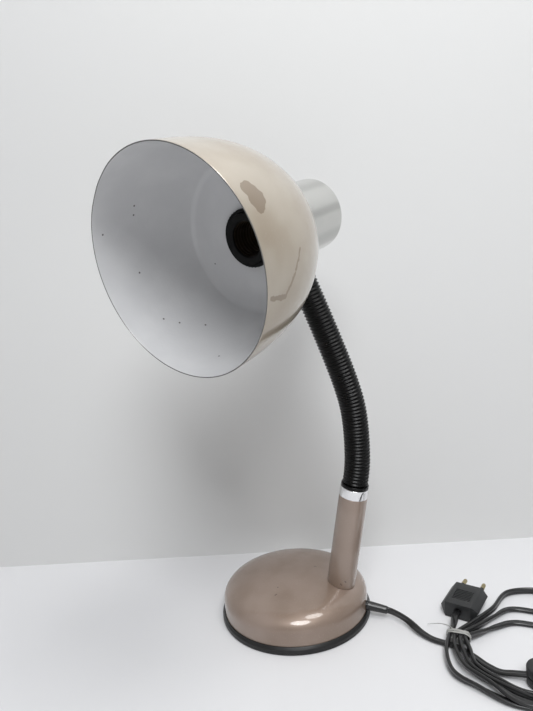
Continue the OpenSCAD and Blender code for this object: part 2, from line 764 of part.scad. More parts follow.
// Places what lies on one of the plug's two pins, which lean towards each other
module at_pin(side) {
    translate([plug_len, side * pin_spread, plug_h / 2]) rotate([0, 0, -side * pin_toe_in])
        rotate([0, 90, 0]) children();
}

// Flat two-pin plug: a body with ridged sides, cut rear corners, ribbed grips and pin sleeves
module plug_body() {
    ridge = plug_h * 0.36;
    color([0.12, 0.12, 0.12]) at_plug() difference() {
        union() {
            rotate([90, 0, 90]) linear_extrude(plug_len) polygon([
                [-plug_w / 2 + ridge, 0], [plug_w / 2 - ridge, 0], [plug_w / 2, plug_h / 2],
                [plug_w / 2 - ridge, plug_h], [-plug_w / 2 + ridge, plug_h], [-plug_w / 2, plug_h / 2]]);
            for (side = [-1, 1]) at_pin(side) translate([0, 0, -1]) cylinder(r = pin_r - 0.4, h = 11);
        }
        for (side = [-1, 1]) at_pin(side) translate([0, 0, -6]) cylinder(r = 1.5, h = 20);
        for (x = [9:2.4:24]) translate([x, -8, plug_h - 0.8]) cube([1.4, 16, 2]);
        for (side = [-1, 1]) translate([0, side * plug_w / 2, -1]) rotate([0, 0, side * -45])
            translate([-6, -4, 0]) cube([12, 8, plug_h + 2]);
    }
}

module plug_pins() {
    color("goldenrod") at_plug() for (side = [-1, 1]) at_pin(side) {
        translate([0, 0, -5]) cylinder(r = 1.45, h = 15.2);
        translate([0, 0, 10.1]) cylinder(r = pin_r, h = 7.4);
        translate([0, 0, 17.5]) cylinder(r1 = pin_r, r2 = 1.1, h = 1.5);
    }
}

// ---- Cord switch ----
rocker_l = 18;
rocker_w = 10;
rocker_z = switch_h - 4;
rocker_tilt = 7;
split_z = switch_h * 0.45;
switch_wall = 2;
pivot_r = 1.2;
boss_x = switch_len / 2 - 9;
screw_r = 1.4;

module at_switch() {
    translate([switch_at.x, switch_at.y, 0]) rotate([0, 0, switch_turn]) children();
}

// Outline of the switch from above: long sides, round ends
module switch_outline(in) {
    w = switch_w - 2 * in;
    hull() for (s = [-1, 1]) translate([s * (switch_len - switch_w) / 2, 0]) circle(r = w / 2, $fn = 48);
}

module switch_space() {
    at_switch() translate([0, 0, -1]) linear_extrude(switch_h + 3) switch_outline(-gap);
}

// Lower half: a tray with a screw boss at each end
module switch_base() {
    color([0.1, 0.1, 0.1]) at_switch() difference() {
        union() {
            difference() {
                union() {
                    linear_extrude(1.2) switch_outline(0.8);
                    translate([0, 0, 1.2]) linear_extrude(split_z - 1.2) switch_outline(0);
                }
                translate([0, 0, switch_wall]) linear_extrude(switch_h) switch_outline(switch_wall);
            }
            for (s = [-1, 1]) translate([s * boss_x, 0, 1]) cylinder(r = 3.2, h = split_z - 1);
        }
        for (s = [-1, 1]) translate([s * boss_x, 0, -1]) {
            cylinder(r = screw_r + slip, h = switch_h);
            cylinder(r = 2.6, h = 2.6);
        }
    }
}

// Upper half with a window for the rocker and two cheeks that hold its pivot
module switch_cover() {
    color([0.1, 0.1, 0.1]) at_switch() difference() {
        union() {
            difference() {
                union() {
                    translate([0, 0, split_z]) linear_extrude(switch_h - split_z - 2) switch_outline(0);
                    translate([0, 0, switch_h - 2]) linear_extrude(1) switch_outline(0.6);
                    translate([0, 0, switch_h - 1]) linear_extrude(1) switch_outline(1.8);
                }
                translate([0, 0, split_z - 1]) linear_extrude(switch_h - split_z - switch_wall + 1)
                    switch_outline(switch_wall);
            }
            for (s = [-1, 1]) translate([-3, s * (rocker_w / 2 + 1.6) - 1, rocker_z - 3])
                cube([6, 2, switch_h - rocker_z + 2]);
            for (s = [-1, 1]) translate([s * boss_x, 0, split_z])
                cylinder(r = 3.2, h = switch_h - split_z - 1);
        }
        translate([-rocker_l / 2 - 0.7, -rocker_w / 2 - 0.4, split_z - 1])
            cube([rocker_l + 1.4, rocker_w + 0.8, switch_h]);
        translate([0, 0, rocker_z]) rotate([90, 0, 0])
            cylinder(r = pivot_r + turning, h = rocker_w + 5.4, center = true);
        for (s = [-1, 1]) translate([s * boss_x, 0, 0])
            cylinder(r = screw_r + slip, h = switch_h - switch_wall - 1);
    }
}

// Rocker on its own trunnions, tipped to one end
module switch_rocker() {
    color([0.16, 0.16, 0.16]) at_switch() translate([0, 0, rocker_z]) rotate([0, rocker_tilt, 0]) {
        translate([0, rocker_w / 2, 0]) rotate([90, 0, 0]) linear_extrude(rocker_w) polygon([
            [-3, -3.2], [3, -3.2], [rocker_l / 2, 1.8], [rocker_l / 2, 3.6], [0, 4.6],
            [-rocker_l / 2, 3.6], [-rocker_l / 2, 1.8]]);
        rotate([90, 0, 0]) cylinder(r = pivot_r, h = rocker_w + 4, center = true);
    }
}

module switch_screws() {
    color("silver") at_switch() for (s = [-1, 1]) translate([s * boss_x, 0, 0.4]) {
        cylinder(r = 2.4, h = 1.2);
        cylinder(r = screw_r, h = switch_h - switch_wall - 2);
    }
}

felt_pad();
foot_ring();
bottom_plate();
plate_screws();
ballast();
ballast_bolt();
base_shell();
pillar_tube();
pillar_plug();
pillar_nipple();
pillar_washer();
pillar_nut();
collar();
cord_relief();
cord_stop();
stop_screw();
inner_lead();
neck_hose(1);  // neck_hose_1
neck_hose(2);  // neck_hose_2
neck_hose(3);  // neck_hose_3
neck_hose(4);  // neck_hose_4
neck_hose(5);  // neck_hose_5
neck_hose(6);  // neck_hose_6
neck_hose(7);  // neck_hose_7
neck_hose(8);  // neck_hose_8
neck_sleeve(1);  // neck_sleeve_1
neck_sleeve(2);  // neck_sleeve_2
neck_sleeve(3);  // neck_sleeve_3
neck_sleeve(4);  // neck_sleeve_4
neck_sleeve(5);  // neck_sleeve_5
neck_sleeve(6);  // neck_sleeve_6
neck_sleeve(7);  // neck_sleeve_7
neck_sleeve(8);  // neck_sleeve_8
neck_bush();
swivel_nipple();
swivel_washer();
swivel_nut();
cup_saddle();
cup();
shade();
shade_ring();
holder_skirt();
holder_cap();
holder_insert();
screw_shell();
centre_contact();
terminal_screws();
holder_bracket();
holder_nipple();
holder_nut();
mains_cord();
cord_coil();
cord_tail();
cord_tie();
plug_body();
plug_pins();
switch_base();
switch_cover();
switch_rocker();
switch_screws();
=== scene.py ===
"""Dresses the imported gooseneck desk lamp: lacquered foot and pillar, corrugated black neck,
spun bowl shade on an aluminium cup, screw lampholder, and a flat twin cord with plug and switch.

All lengths are in millimetres on the shared frame until a mesh is finished, which turns them to metres.
"""

from __future__ import annotations

import json
import logging
import math
from dataclasses import dataclass
from enum import Enum
from typing import Callable, Iterable, Sequence, Union

import bmesh
import bpy
import numpy as np
from mathutils import Matrix, Vector


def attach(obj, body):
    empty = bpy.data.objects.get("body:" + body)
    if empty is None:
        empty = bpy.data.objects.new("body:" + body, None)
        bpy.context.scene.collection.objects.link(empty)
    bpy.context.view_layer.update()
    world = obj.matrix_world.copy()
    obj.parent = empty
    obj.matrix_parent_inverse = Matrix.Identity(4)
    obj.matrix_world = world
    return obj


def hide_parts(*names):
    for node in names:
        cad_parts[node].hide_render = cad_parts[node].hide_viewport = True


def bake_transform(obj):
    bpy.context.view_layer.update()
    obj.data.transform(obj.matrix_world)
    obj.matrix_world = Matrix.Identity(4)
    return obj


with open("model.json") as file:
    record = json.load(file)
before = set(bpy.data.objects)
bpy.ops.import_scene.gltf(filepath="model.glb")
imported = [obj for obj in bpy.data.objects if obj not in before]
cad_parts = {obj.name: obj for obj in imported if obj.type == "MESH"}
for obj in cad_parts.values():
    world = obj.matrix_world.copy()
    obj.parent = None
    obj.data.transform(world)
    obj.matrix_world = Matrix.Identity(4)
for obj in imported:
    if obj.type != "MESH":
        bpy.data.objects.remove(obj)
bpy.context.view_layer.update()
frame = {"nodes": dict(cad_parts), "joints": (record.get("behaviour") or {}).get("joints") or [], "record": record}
LOG = logging.getLogger("desk_lamp")
MM = 0.001
Point = tuple[float, float, float]
Colour = tuple[float, float, float]


# ---- Material wiring ----


def shade_of(red: int, green: int, blue: int) -> Colour:
    """A display colour from 0 to 255 as the linear colour that a shader takes."""
    return tuple(
        c / 12.92 if c <= 0.04045 else ((c + 0.055) / 1.055) ** 2.4
        for c in (red / 255, green / 255, blue / 255)
    )


class Signal:
    """One output of a material's nodes, which Python's operators turn into Math nodes."""

    def __init__(self, wiring: "Wiring", socket: bpy.types.NodeSocket) -> None:
        """Keeps the wiring that the output belongs to."""
        self.wiring, self.socket = wiring, socket

    def math(self, operation: str, *values: "Value") -> "Signal":
        """Adds one Math node.

        Args:
            operation: Blender's name of the operation.
            values: what goes into its sockets, in order.

        Returns:
            Its result.
        """
        return self.wiring.add(
            "ShaderNodeMath", {"operation": operation}, dict(enumerate(values))
        )

    def __add__(self, other: "Value") -> "Signal":
        """self + other."""
        return self.math("ADD", self, other)

    def __sub__(self, other: "Value") -> "Signal":
        """self - other."""
        return self.math("SUBTRACT", self, other)

    def __rsub__(self, other: "Value") -> "Signal":
        """other - self."""
        return self.math("SUBTRACT", other, self)

    def __mul__(self, other: "Value") -> "Signal":
        """self * other."""
        return self.math("MULTIPLY", self, other)

    def __truediv__(self, other: "Value") -> "Signal":
        """self / other."""
        return self.math("DIVIDE", self, other)

    def __pow__(self, other: "Value") -> "Signal":
        """self to the power of other."""
        return self.math("POWER", self, other)

    __radd__, __rmul__ = __add__, __mul__

    def step(self, low: float, high: float) -> "Signal":
        """Rises smoothly from 0 at low to 1 at high, or falls where high is the lower one."""
        return self.wiring.add(
            "ShaderNodeMapRange",
            {"interpolation_type": "SMOOTHSTEP"},
            {"Value": self, "From Min": low, "From Max": high},
        )


Value = Union[Signal, float, Sequence[float]]


class Wiring:
    """The node tree of one material, or of the world."""

    def __init__(self, name: str, world: bool = False) -> None:
        """Starts an empty material of that name, or an empty world."""
        self.material = (bpy.data.worlds if world else bpy.data.materials).new(name)
        self.material.use_nodes = True
        self.tree = self.material.node_tree
        self.tree.nodes.clear()

    def add(
        self,
        kind: str,
        settings: dict[str, object] | None = None,
        inputs: dict[int | str, Value] | None = None,
        out: int | str = 0,
    ) -> Signal:
        """Adds a node.

        Args:
            kind: Blender's type of the node.
            settings: its properties, set first. A ramp's stops are given as "stops".
            inputs: values or signals by the socket's place, identifier or name.
            out: place or identifier of the output that is wanted.

        Returns:
            That output.
        """
        node = self.tree.nodes.new(kind)
        for key, value in (settings or {}).items():
            if key == "stops":
                ramp = node.color_ramp.elements
                while len(ramp) < len(value):
                    ramp.new(0.5)
                for stop, (place, colour) in zip(ramp, value):
                    stop.position, stop.color = place, (*colour, 1)
            else:
                setattr(node, key, value)
        for key, value in (inputs or {}).items():
            socket = node.inputs[key] if isinstance(key, int) else self._find(node.inputs, key)
            if isinstance(value, Signal):
                self.tree.links.new(value.socket, socket)
            elif socket.type == "RGBA":
                socket.default_value = (*value[:3], 1)
            else:
                socket.default_value = value
        outs = node.outputs
        if not len(outs):
            return Signal(self, None)
        return Signal(self, outs[out] if isinstance(out, int) else self._find(outs, out))

    @staticmethod
    def _find(sockets: bpy.types.bpy_prop_collection, key: str) -> bpy.types.NodeSocket:
        """The enabled socket with that identifier, or else with that name."""
        for s in sockets:
            if s.identifier == key:
                return s
        return next(s for s in sockets if s.name == key and s.enabled)

    def place(self, own: bool) -> Signal:
        """Where a point is: on the piece's own axes in millimetres, or in the row frame in metres."""
        if own:
            return self.add("ShaderNodeAttribute", {"attribute_name": "own"}, out="Vector")
        return self.add("ShaderNodeTexCoord", out="Object")

    def noise(
        self, place: Signal, scale: float, detail: float = 3, stretch: Point = (1, 1, 1)
    ) -> Signal:
        """Soft noise from 0 to 1 about 0.5.

        Args:
            place: where it is read.
            scale: how many lumps there are in one unit of place.
            detail: how fine its smallest lumps are.
            stretch: factor on each axis before it is read.
        """
        if stretch != (1, 1, 1):
            place = self.add("ShaderNodeVectorMath", {"operation": "MULTIPLY"}, {0: place, 1: stretch})
        return self.add("ShaderNodeTexNoise", None, {"Vector": place, "Scale": scale, "Detail": detail})

    def part(self, place: Signal, axis: int) -> Signal:
        """One coordinate of a place."""
        return self.add("ShaderNodeSeparateXYZ", None, {0: place}, out=axis)

    def near(self, place: Signal, points: Iterable[Point], size: float, blur: float) -> Signal | None:
        """How much a place is within size of any of the points, fading over blur.

        Args:
            place: where it is read.
            points: the spots' middles, in the place's unit.
            size: radius of a spot.
            blur: width of its soft edge.

        Returns:
            1 in a spot and 0 elsewhere, or None where there are no spots.
        """
        total = None
        for p in points:
            far = self.add("ShaderNodeVectorMath", {"operation": "DISTANCE"}, {0: place, 1: p}, out="Value")
            spot = far.step(size + blur, size)
            total = spot if total is None else total.math("MAXIMUM", total, spot)
        return total

    def along(self, place: Signal, start: Point, end: Point) -> Signal:
        """Distance of a place from the straight line between two points."""
        way = Vector(end) - Vector(start)
        off = self.add("ShaderNodeVectorMath", {"operation": "SUBTRACT"}, {0: place, 1: start})
        run = self.add(
            "ShaderNodeVectorMath", {"operation": "DOT_PRODUCT"}, {0: off, 1: tuple(way)}, out="Value"
        )
        share = self.add(
            "ShaderNodeMath", {"operation": "DIVIDE", "use_clamp": True}, {0: run, 1: way.length_squared}
        )
        foot = self.add("ShaderNodeVectorMath", {"operation": "SCALE"}, {0: tuple(way), "Scale": share})
        return self.add("ShaderNodeVectorMath", {"operation": "DISTANCE"}, {0: off, 1: foot}, out="Value")

    def mix(self, share: Value, first: Value, second: Value) -> Signal:
        """A colour that goes from first to second with share."""
        return self.add(
            "ShaderNodeMix",
            {"data_type": "RGBA"},
            {"Factor_Float": share, "A_Color": first, "B_Color": second},
            out="Result_Color",
        )

    def bump(self, height: Signal, depth: float, strength: float = 1.0) -> Signal:
        """A normal that follows a height, whose full range is depth metres."""
        return self.add(
            "ShaderNodeBump", None, {"Height": height, "Distance": depth, "Strength": strength}, out="Normal"
        )

    def surface(self, **sockets: Value) -> bpy.types.Material:
        """Closes the material with one Principled shader.

        Args:
            sockets: values or signals by the socket's name, with _ for a space.

        Returns:
            The finished material.
        """
        shader = self.add(
            "ShaderNodeBsdfPrincipled", None, {k.replace("_", " "): v for k, v in sockets.items()}
        )
        self.add("ShaderNodeOutputMaterial", None, {"Surface": shader})
        return self.material


FLAKE: Colour = (0.9, 0.86, 0.8)
# Tan of the painted reflections on the shade.
REFLECTION_TAN: Colour = shade_of(134, 117, 97)
UNDERCOAT: Colour = shade_of(84, 70, 60)
CLOUDED: Colour = shade_of(226, 226, 226)
YELLOWED: Colour = shade_of(196, 192, 186)
SPECK: Colour = shade_of(58, 54, 52)

# Places of small chips and specks, and ends of the shade's painted reflections, in mm on the axes of the piece
# that has them

FOOT_CHIPS: tuple[Point, ...] = (
    (-2.1, -41.9, 36.0), (-1.4, -40.8, 36.2), (-3.6, -31.6, 37.6), (17.9, 11.5, 38.5), (19.2, 11.8, 38.5),
    (-55.0, 12.0, 29.5), (8.0, -58.0, 29.8))
PILLAR_CHIPS: tuple[Point, ...] = (
    (6.0, -11.6, 7.6), (2.4, -12.8, 4.4), (3.4, -12.6, 3.7), (6.6, -11.3, 6.9), (-9.0, 9.4, 30.0))
# Painted reflections on the shade's lacquer: a dark tan patch and a thin tan line.
SHADE_REFLECTIONS: tuple[tuple[Point, Point, float], ...] = (
    ((-19.5, -77.4, 13.5), (-13.0, -78.8, 17.0), 5.6),
    ((-14.5, -78.5, 13.0), (-8.0, -79.4, 13.0), 4.4),
    ((23.6, -74.5, 40.0), (30.8, -72.6, 34.6), 0.7),
    ((30.8, -72.6, 34.6), (38.8, -69.4, 28.4), 0.8),
    ((38.8, -69.4, 28.4), (46.7, -65.0, 19.4), 1.0),
    ((46.7, -65.0, 19.4), (45.2, -66.1, 11.4), 1.7),
    ((45.2, -66.1, 11.4), (43.8, -67.2, 3.6), 1.4),
)
SHADE_SPECKS: tuple[Point, ...] = (
    (-58.1, 51.4, 38.2), (-12.4, 77.0, 34.6), (5.3, 48.2, 87.6), (29.0, 72.6, 32.8), (37.2, 67.6, 41.8),
    (47.7, 56.7, 56.6), (71.8, 30.8, 32.8), (-46.4, 64.2, 9.4), (-52.8, 56.8, 38.2), (-30.0, -62.0, 50.0))


# ---- Finishes ----


@dataclass(frozen=True)
class Lacquer:
    """Glossy pearl lacquer over pressed or spun sheet, with small chips and, where given, painted reflections as
    tan streaks.

    Attributes:
        name: the material's name.
        colour: its body colour.
        cast: colour of the broad, faint clouds in it.
        chips: middles of dark chips on the piece's own axes, in mm.
        painted_reflections: ends and half width in mm of each painted reflection, drawn as a tan streak.
        gloss: roughness of the pigment under the clear coat.
        coat: weight of the clear coat.
    """

    name: str
    colour: Colour
    cast: Colour
    chips: tuple[Point, ...] = ()
    painted_reflections: tuple[tuple[Point, Point, float], ...] = ()
    gloss: float = 0.3
    coat: float = 0.7

    def make(self) -> bpy.types.Material:
        """Builds the material."""
        w = Wiring(self.name)
        here = w.place(own=True)
        clouds = w.noise(here, 0.022, 2)
        colour = w.mix(clouds.step(0.35, 0.7), self.colour, self.cast)
        flakes = w.noise(here, 0.7, 1)
        colour = w.mix(flakes.step(0.6, 0.8) * 0.04, colour, FLAKE)
        # Painted reflections: tan streaks with torn edges, standing in for reflections in the gloss.
        if self.painted_reflections:
            ragged = w.add("ShaderNodeTexNoise", None, {"Vector": here, "Scale": 0.28, "Detail": 3}, out=1)
            edge = w.add("ShaderNodeVectorMath", {"operation": "SUBTRACT"}, {0: ragged, 1: (0.5, 0.5, 0.5)})
            edge = w.add("ShaderNodeVectorMath", {"operation": "SCALE"}, {0: edge, "Scale": 4.0})
            torn = w.add("ShaderNodeVectorMath", {"operation": "ADD"}, {0: here, 1: edge})
            reflection_mask = None
            for start, end, half in self.painted_reflections:
                one = w.along(torn, start, end).step(half + 0.3, half)
                reflection_mask = one if reflection_mask is None else one.math("MAXIMUM", one, reflection_mask)
            colour = w.mix(reflection_mask * 0.85, colour, REFLECTION_TAN)
        chipped = w.near(here, self.chips, 0.35, 0.5)
        if chipped is not None:
            colour = w.mix(chipped * 0.85, colour, UNDERCOAT)
        dust = w.noise(here, 0.2, 3)
        rough = dust.step(0.3, 0.8) * 0.08 + self.gloss
        peel = w.noise(here, 0.1, 1)
        return w.surface(
            Base_Color=colour,
            Metallic=0.3,
            Roughness=rough,
            Coat_Weight=self.coat,
            Coat_Roughness=0.09,
            Normal=w.bump(peel, 0.00001),
        )


@dataclass(frozen=True)
class Enamel:
    """Satin white enamel with a few dark specks and faint yellowed flecks.

    Attributes:
        name: the material's name.
        colour: its white.
        specks: middles of the specks on the piece's own axes, in mm.
    """

    name: str
    colour: Colour
    specks: tuple[Point, ...] = ()

    def make(self) -> bpy.types.Material:
        """Builds the material."""
        w = Wiring(self.name)
        here = w.place(own=True)
        clouds = w.noise(here, 0.03, 3).step(0.35, 0.75) * 0.5
        colour = w.mix(clouds, self.colour, CLOUDED)
        fine = w.noise(here, 0.8, 2)
        colour = w.mix(fine.step(0.7, 0.82) * 0.25, colour, YELLOWED)
        specks = w.near(here, self.specks, 0.55, 0.4)
        if specks is not None:
            colour = w.mix(specks * 0.9, colour, SPECK)
        peel = w.noise(here, 0.4, 2)
        return w.surface(
            Base_Color=colour,
            Roughness=w.noise(here, 0.1, 3) * 0.2 + 0.32,
            Coat_Weight=0.25,
            Coat_Roughness=0.2,
            Normal=w.bump(peel, 0.00005),
        )


@dataclass(frozen=True)
class Metal:
    """Bare or plated metal.

    Attributes:
        name: the material's name.
        colour: colour of its shine.
        rough: its roughness.
        own: whether it reads the piece's own axes, where Z is the turning axis.
        turned: depth of the fine turning marks in metres, 0 for none. Where set, painted reflections also run as
            darker bands along the axis.
        dull: how much dull patches raise the roughness.
    """

    name: str
    colour: Colour
    rough: float
    own: bool = False
    turned: float = 0.0
    dull: float = 0.1

    def make(self) -> bpy.types.Material:
        """Builds the material."""
        w = Wiring(self.name)
        here = w.place(self.own)
        unit = 1.0 if self.own else 1000.0
        patches = w.noise(here, 0.12 * unit, 4)
        darker = tuple(0.72 * c for c in self.colour)
        colour = w.mix(patches.step(0.4, 0.75) * (self.dull * 5), self.colour, darker)
        rough = patches.step(0.35, 0.75) * self.dull + self.rough
        if self.turned:
            marks = w.noise(here, 1.0, 2, stretch=(0.01, 0.01, 1.6))
            rough = rough + (marks - 0.5) * 0.12
            # Painted reflections: darker bands by the angle round the turning axis, standing in for a banded room
            # seen in the metal.
            flat = w.add("ShaderNodeVectorMath", {"operation": "MULTIPLY"}, {0: here, 1: (1, 1, 0)})
            around = w.add("ShaderNodeVectorMath", {"operation": "NORMALIZE"}, {0: flat})
            reflection_bands = w.noise(around, 1.9, 1)
            colour = w.mix(reflection_bands.step(0.42, 0.62) * 0.85, colour, darker)
            relief = w.bump(marks, self.turned)
        else:
            relief = w.bump(w.noise(here, 0.9 * unit, 3), 0.00002)
        return w.surface(Base_Color=colour, Metallic=0.95, Roughness=rough, Normal=relief)


@dataclass(frozen=True)
class Moulding:
    """Moulded or extruded plastic, porcelain, film or felt.

    Attributes:
        name: the material's name.
        colour: its colour.
        worn: colour of dust and rubbed places.
        rough: its roughness.
        own: whether it reads the piece's own axes.
        grain: depth of its surface grain in metres.
        grains: how many grains there are in a millimetre.
        coat: weight of a glossy skin.
        alpha: how solid it is.
        sheen: weight of its fuzz.
        specular: strength of its shine.
    """

    name: str
    colour: Colour
    worn: Colour
    rough: float
    own: bool = True
    grain: float = 0.00004
    grains: float = 1.2
    coat: float = 0.0
    alpha: float = 1.0
    sheen: float = 0.0
    specular: float = 0.5

    def make(self) -> bpy.types.Material:
        """Builds the material."""
        w = Wiring(self.name)
        here = w.place(self.own)
        unit = 1.0 if self.own else 1000.0
        patches = w.noise(here, 0.08 * unit, 4)
        colour = w.mix(patches.step(0.45, 0.75) * 0.7, self.colour, self.worn)
        fine = w.noise(here, self.grains * unit, 2)
        rough = patches.step(0.3, 0.8) * 0.12 + self.rough
        return w.surface(
            Base_Color=colour,
            Roughness=rough,
            Coat_Weight=self.coat,
            Coat_Roughness=0.25,
            Alpha=self.alpha,
            Sheen_Weight=self.sheen,
            Specular_IOR_Level=self.specular,
            Normal=w.bump(fine, self.grain),
        )


def finishes() -> dict[str, bpy.types.Material]:
    """Builds every finish of the lamp once and returns the materials by name."""
    black, dust = shade_of(10, 10, 11), shade_of(24, 24, 25)
    made = [
        Lacquer(
            "foot_lacquer", shade_of(152, 134, 122), shade_of(134, 115, 101),
            chips=FOOT_CHIPS, gloss=0.4, coat=0.95,
        ),
        Lacquer(
            "pillar_lacquer", shade_of(150, 133, 121), shade_of(136, 117, 103),
            chips=PILLAR_CHIPS, gloss=0.38, coat=0.95,
        ),
        Lacquer(
            "shade_lacquer", shade_of(184, 174, 159), shade_of(168, 154, 135),
            painted_reflections=SHADE_REFLECTIONS, gloss=0.3, coat=1.0,
        ),
        Enamel("shade_enamel", shade_of(212, 212, 213), specks=SHADE_SPECKS),
        Metal("bare_edge", shade_of(128, 127, 125), 0.35, own=True),
        Metal("spun_aluminium", shade_of(212, 212, 209), 0.16, own=True, turned=0.000008, dull=0.02),
        Metal("collar_chrome", shade_of(235, 235, 236), 0.07, own=True, dull=0.04),
        Metal("zinc_steel", shade_of(186, 188, 190), 0.34),
        Metal("brass", shade_of(205, 170, 98), 0.28),
        # Brass made nearly black: painted shade for the deep mouth of the socket.
        Metal("shade_darkened_brass", shade_of(58, 49, 38), 0.5, own=True, dull=0.2),
        Metal("nickel_brass", shade_of(176, 164, 130), 0.3, own=True),
        Metal("cast_iron", shade_of(62, 62, 64), 0.6, dull=0.2),
        Moulding("foot_rubber", shade_of(12, 12, 12), dust, 0.36, grain=0.00004),
        Moulding("black_steel", black, dust, 0.4, grain=0.00003),
        Moulding("sleeve_vinyl", shade_of(2, 2, 2), shade_of(5, 5, 5), 0.26, own=False, specular=0.24),
        Moulding("cord_vinyl", shade_of(17, 17, 18), shade_of(30, 30, 31), 0.28, coat=0.35),
        Moulding("bakelite", shade_of(2, 2, 2), shade_of(6, 6, 6), 0.45, specular=0.18),
        Moulding("plug_plastic", shade_of(36, 37, 38), shade_of(50, 51, 52), 0.46, grain=0.00007),
        Moulding("rocker_plastic", shade_of(30, 30, 31), shade_of(42, 42, 43), 0.38),
        Moulding("porcelain", shade_of(232, 228, 216), shade_of(214, 206, 190), 0.22, own=False, coat=0.6),
        Moulding("tie_film", shade_of(172, 172, 168), shade_of(205, 205, 200), 0.25, coat=0.8, alpha=0.75),
        Moulding("bakelite_cap", shade_of(12, 12, 12), shade_of(20, 20, 20), 0.3, own=False, coat=0.5),
        Moulding("lead_vinyl", shade_of(40, 41, 42), shade_of(54, 55, 56), 0.4, own=False),
        Metal("bush_steel", shade_of(52, 52, 54), 0.38),
        Moulding(
            "felt", shade_of(44, 46, 46), shade_of(66, 66, 64), 0.95, own=False, grain=0.0003, sheen=0.4
        ),
    ]
    return {f.name: f.make() for f in made}


# ---- Mesh making ----


def spline(points: Sequence[Sequence[float]], cuts: int, loop: bool = False) -> np.ndarray:
    """Points of a smooth curve through given ones.

    Args:
        points: what the curve goes through.
        cuts: how many pieces each stretch is cut into.
        loop: whether the last point goes on to the first.

    Returns:
        The curve's points, one row each.
    """
    p = np.array(points, float)
    n, rows = len(p), []
    for i in range(n if loop else n - 1):
        q = [p[j % n] if loop else p[min(max(j, 0), n - 1)] for j in (i - 1, i, i + 1, i + 2)]
        for k in range(cuts):
            t = k / cuts
            rows.append(
                0.5 * (2 * q[1] + (q[2] - q[0]) * t + (2 * q[0] - 5 * q[1] + 4 * q[2] - q[3]) * t * t
                       + (3 * q[1] - q[0] - 3 * q[2] + q[3]) * t**3)
            )
    return np.array(rows if loop else rows + [p[-1]])


def even(points: np.ndarray, gap: float) -> np.ndarray:
    """The same open line with its points about gap apart."""
    far = np.r_[0, np.cumsum(np.linalg.norm(np.diff(points, axis=0), axis=1))]
    at = np.linspace(0, far[-1], max(2, round(far[-1] / gap) + 1))
    return np.stack([np.interp(at, far, points[:, k]) for k in range(points.shape[1])], 1)


def circle(count: int) -> np.ndarray:
    """That many even steps of a full turn, in radians from 0."""
    return np.linspace(0, 2 * math.pi, count, endpoint=False)


def oblong(low: float, high: float, half: float) -> np.ndarray:
    """Outline of a rectangle from low to high in X, and half to each side in Y."""
    return np.array([(low, -half), (high, -half), (high, half), (low, half)], float)


def edited(mesh: bpy.types.Mesh, job: Callable[[bmesh.types.BMesh], None]) -> None:
    """Runs a job on a mesh through bmesh."""
    bm = bmesh.new()
    bm.from_mesh(mesh)
    job(bm)
    bm.to_mesh(mesh)
    bm.free()


def smooth(mesh: bpy.types.Mesh, sharp: float) -> None:
    """Shades a mesh smooth, but for edges past an angle in degrees."""
    mesh.polygons.foreach_set("use_smooth", [True] * len(mesh.polygons))
    mesh.set_sharp_from_angle(angle=math.radians(sharp))
    mesh.update()


def shown(name: str, mesh: bpy.types.Mesh) -> bpy.types.Object:
    """An object at the origin with that mesh."""
    made = bpy.data.objects.new(name, mesh)
    bpy.context.scene.collection.objects.link(made)
    LOG.info("%s: %d faces", name, len(mesh.polygons))
    return made


def rounded(
    corners: Sequence[tuple[float, float]], radius: float, steps: int = 3
) -> list[tuple[float, float]]:
    """A closed profile with each corner rounded.

    Args:
        corners: its corners in order.
        radius: how far each rounding reaches along its edges, less on a short edge.
        steps: points in a rounding, less one.
    """
    out, n = [], len(corners)
    for i in range(n):
        a, b, c = (np.array(corners[(i + k) % n], float) for k in (-1, 0, 1))
        back, on = a - b, c - b
        cut = min(radius, 0.45 * np.linalg.norm(back), 0.45 * np.linalg.norm(on))
        if b[0] < 1e-9 or cut < 1e-6:
            out.append(tuple(b))
            continue
        s, e = b + back / np.linalg.norm(back) * cut, b + on / np.linalg.norm(on) * cut
        for k in range(steps + 1):
            t = k / steps
            out.append(tuple((1 - t) ** 2 * s + 2 * t * (1 - t) * b + t * t * e))
    return out


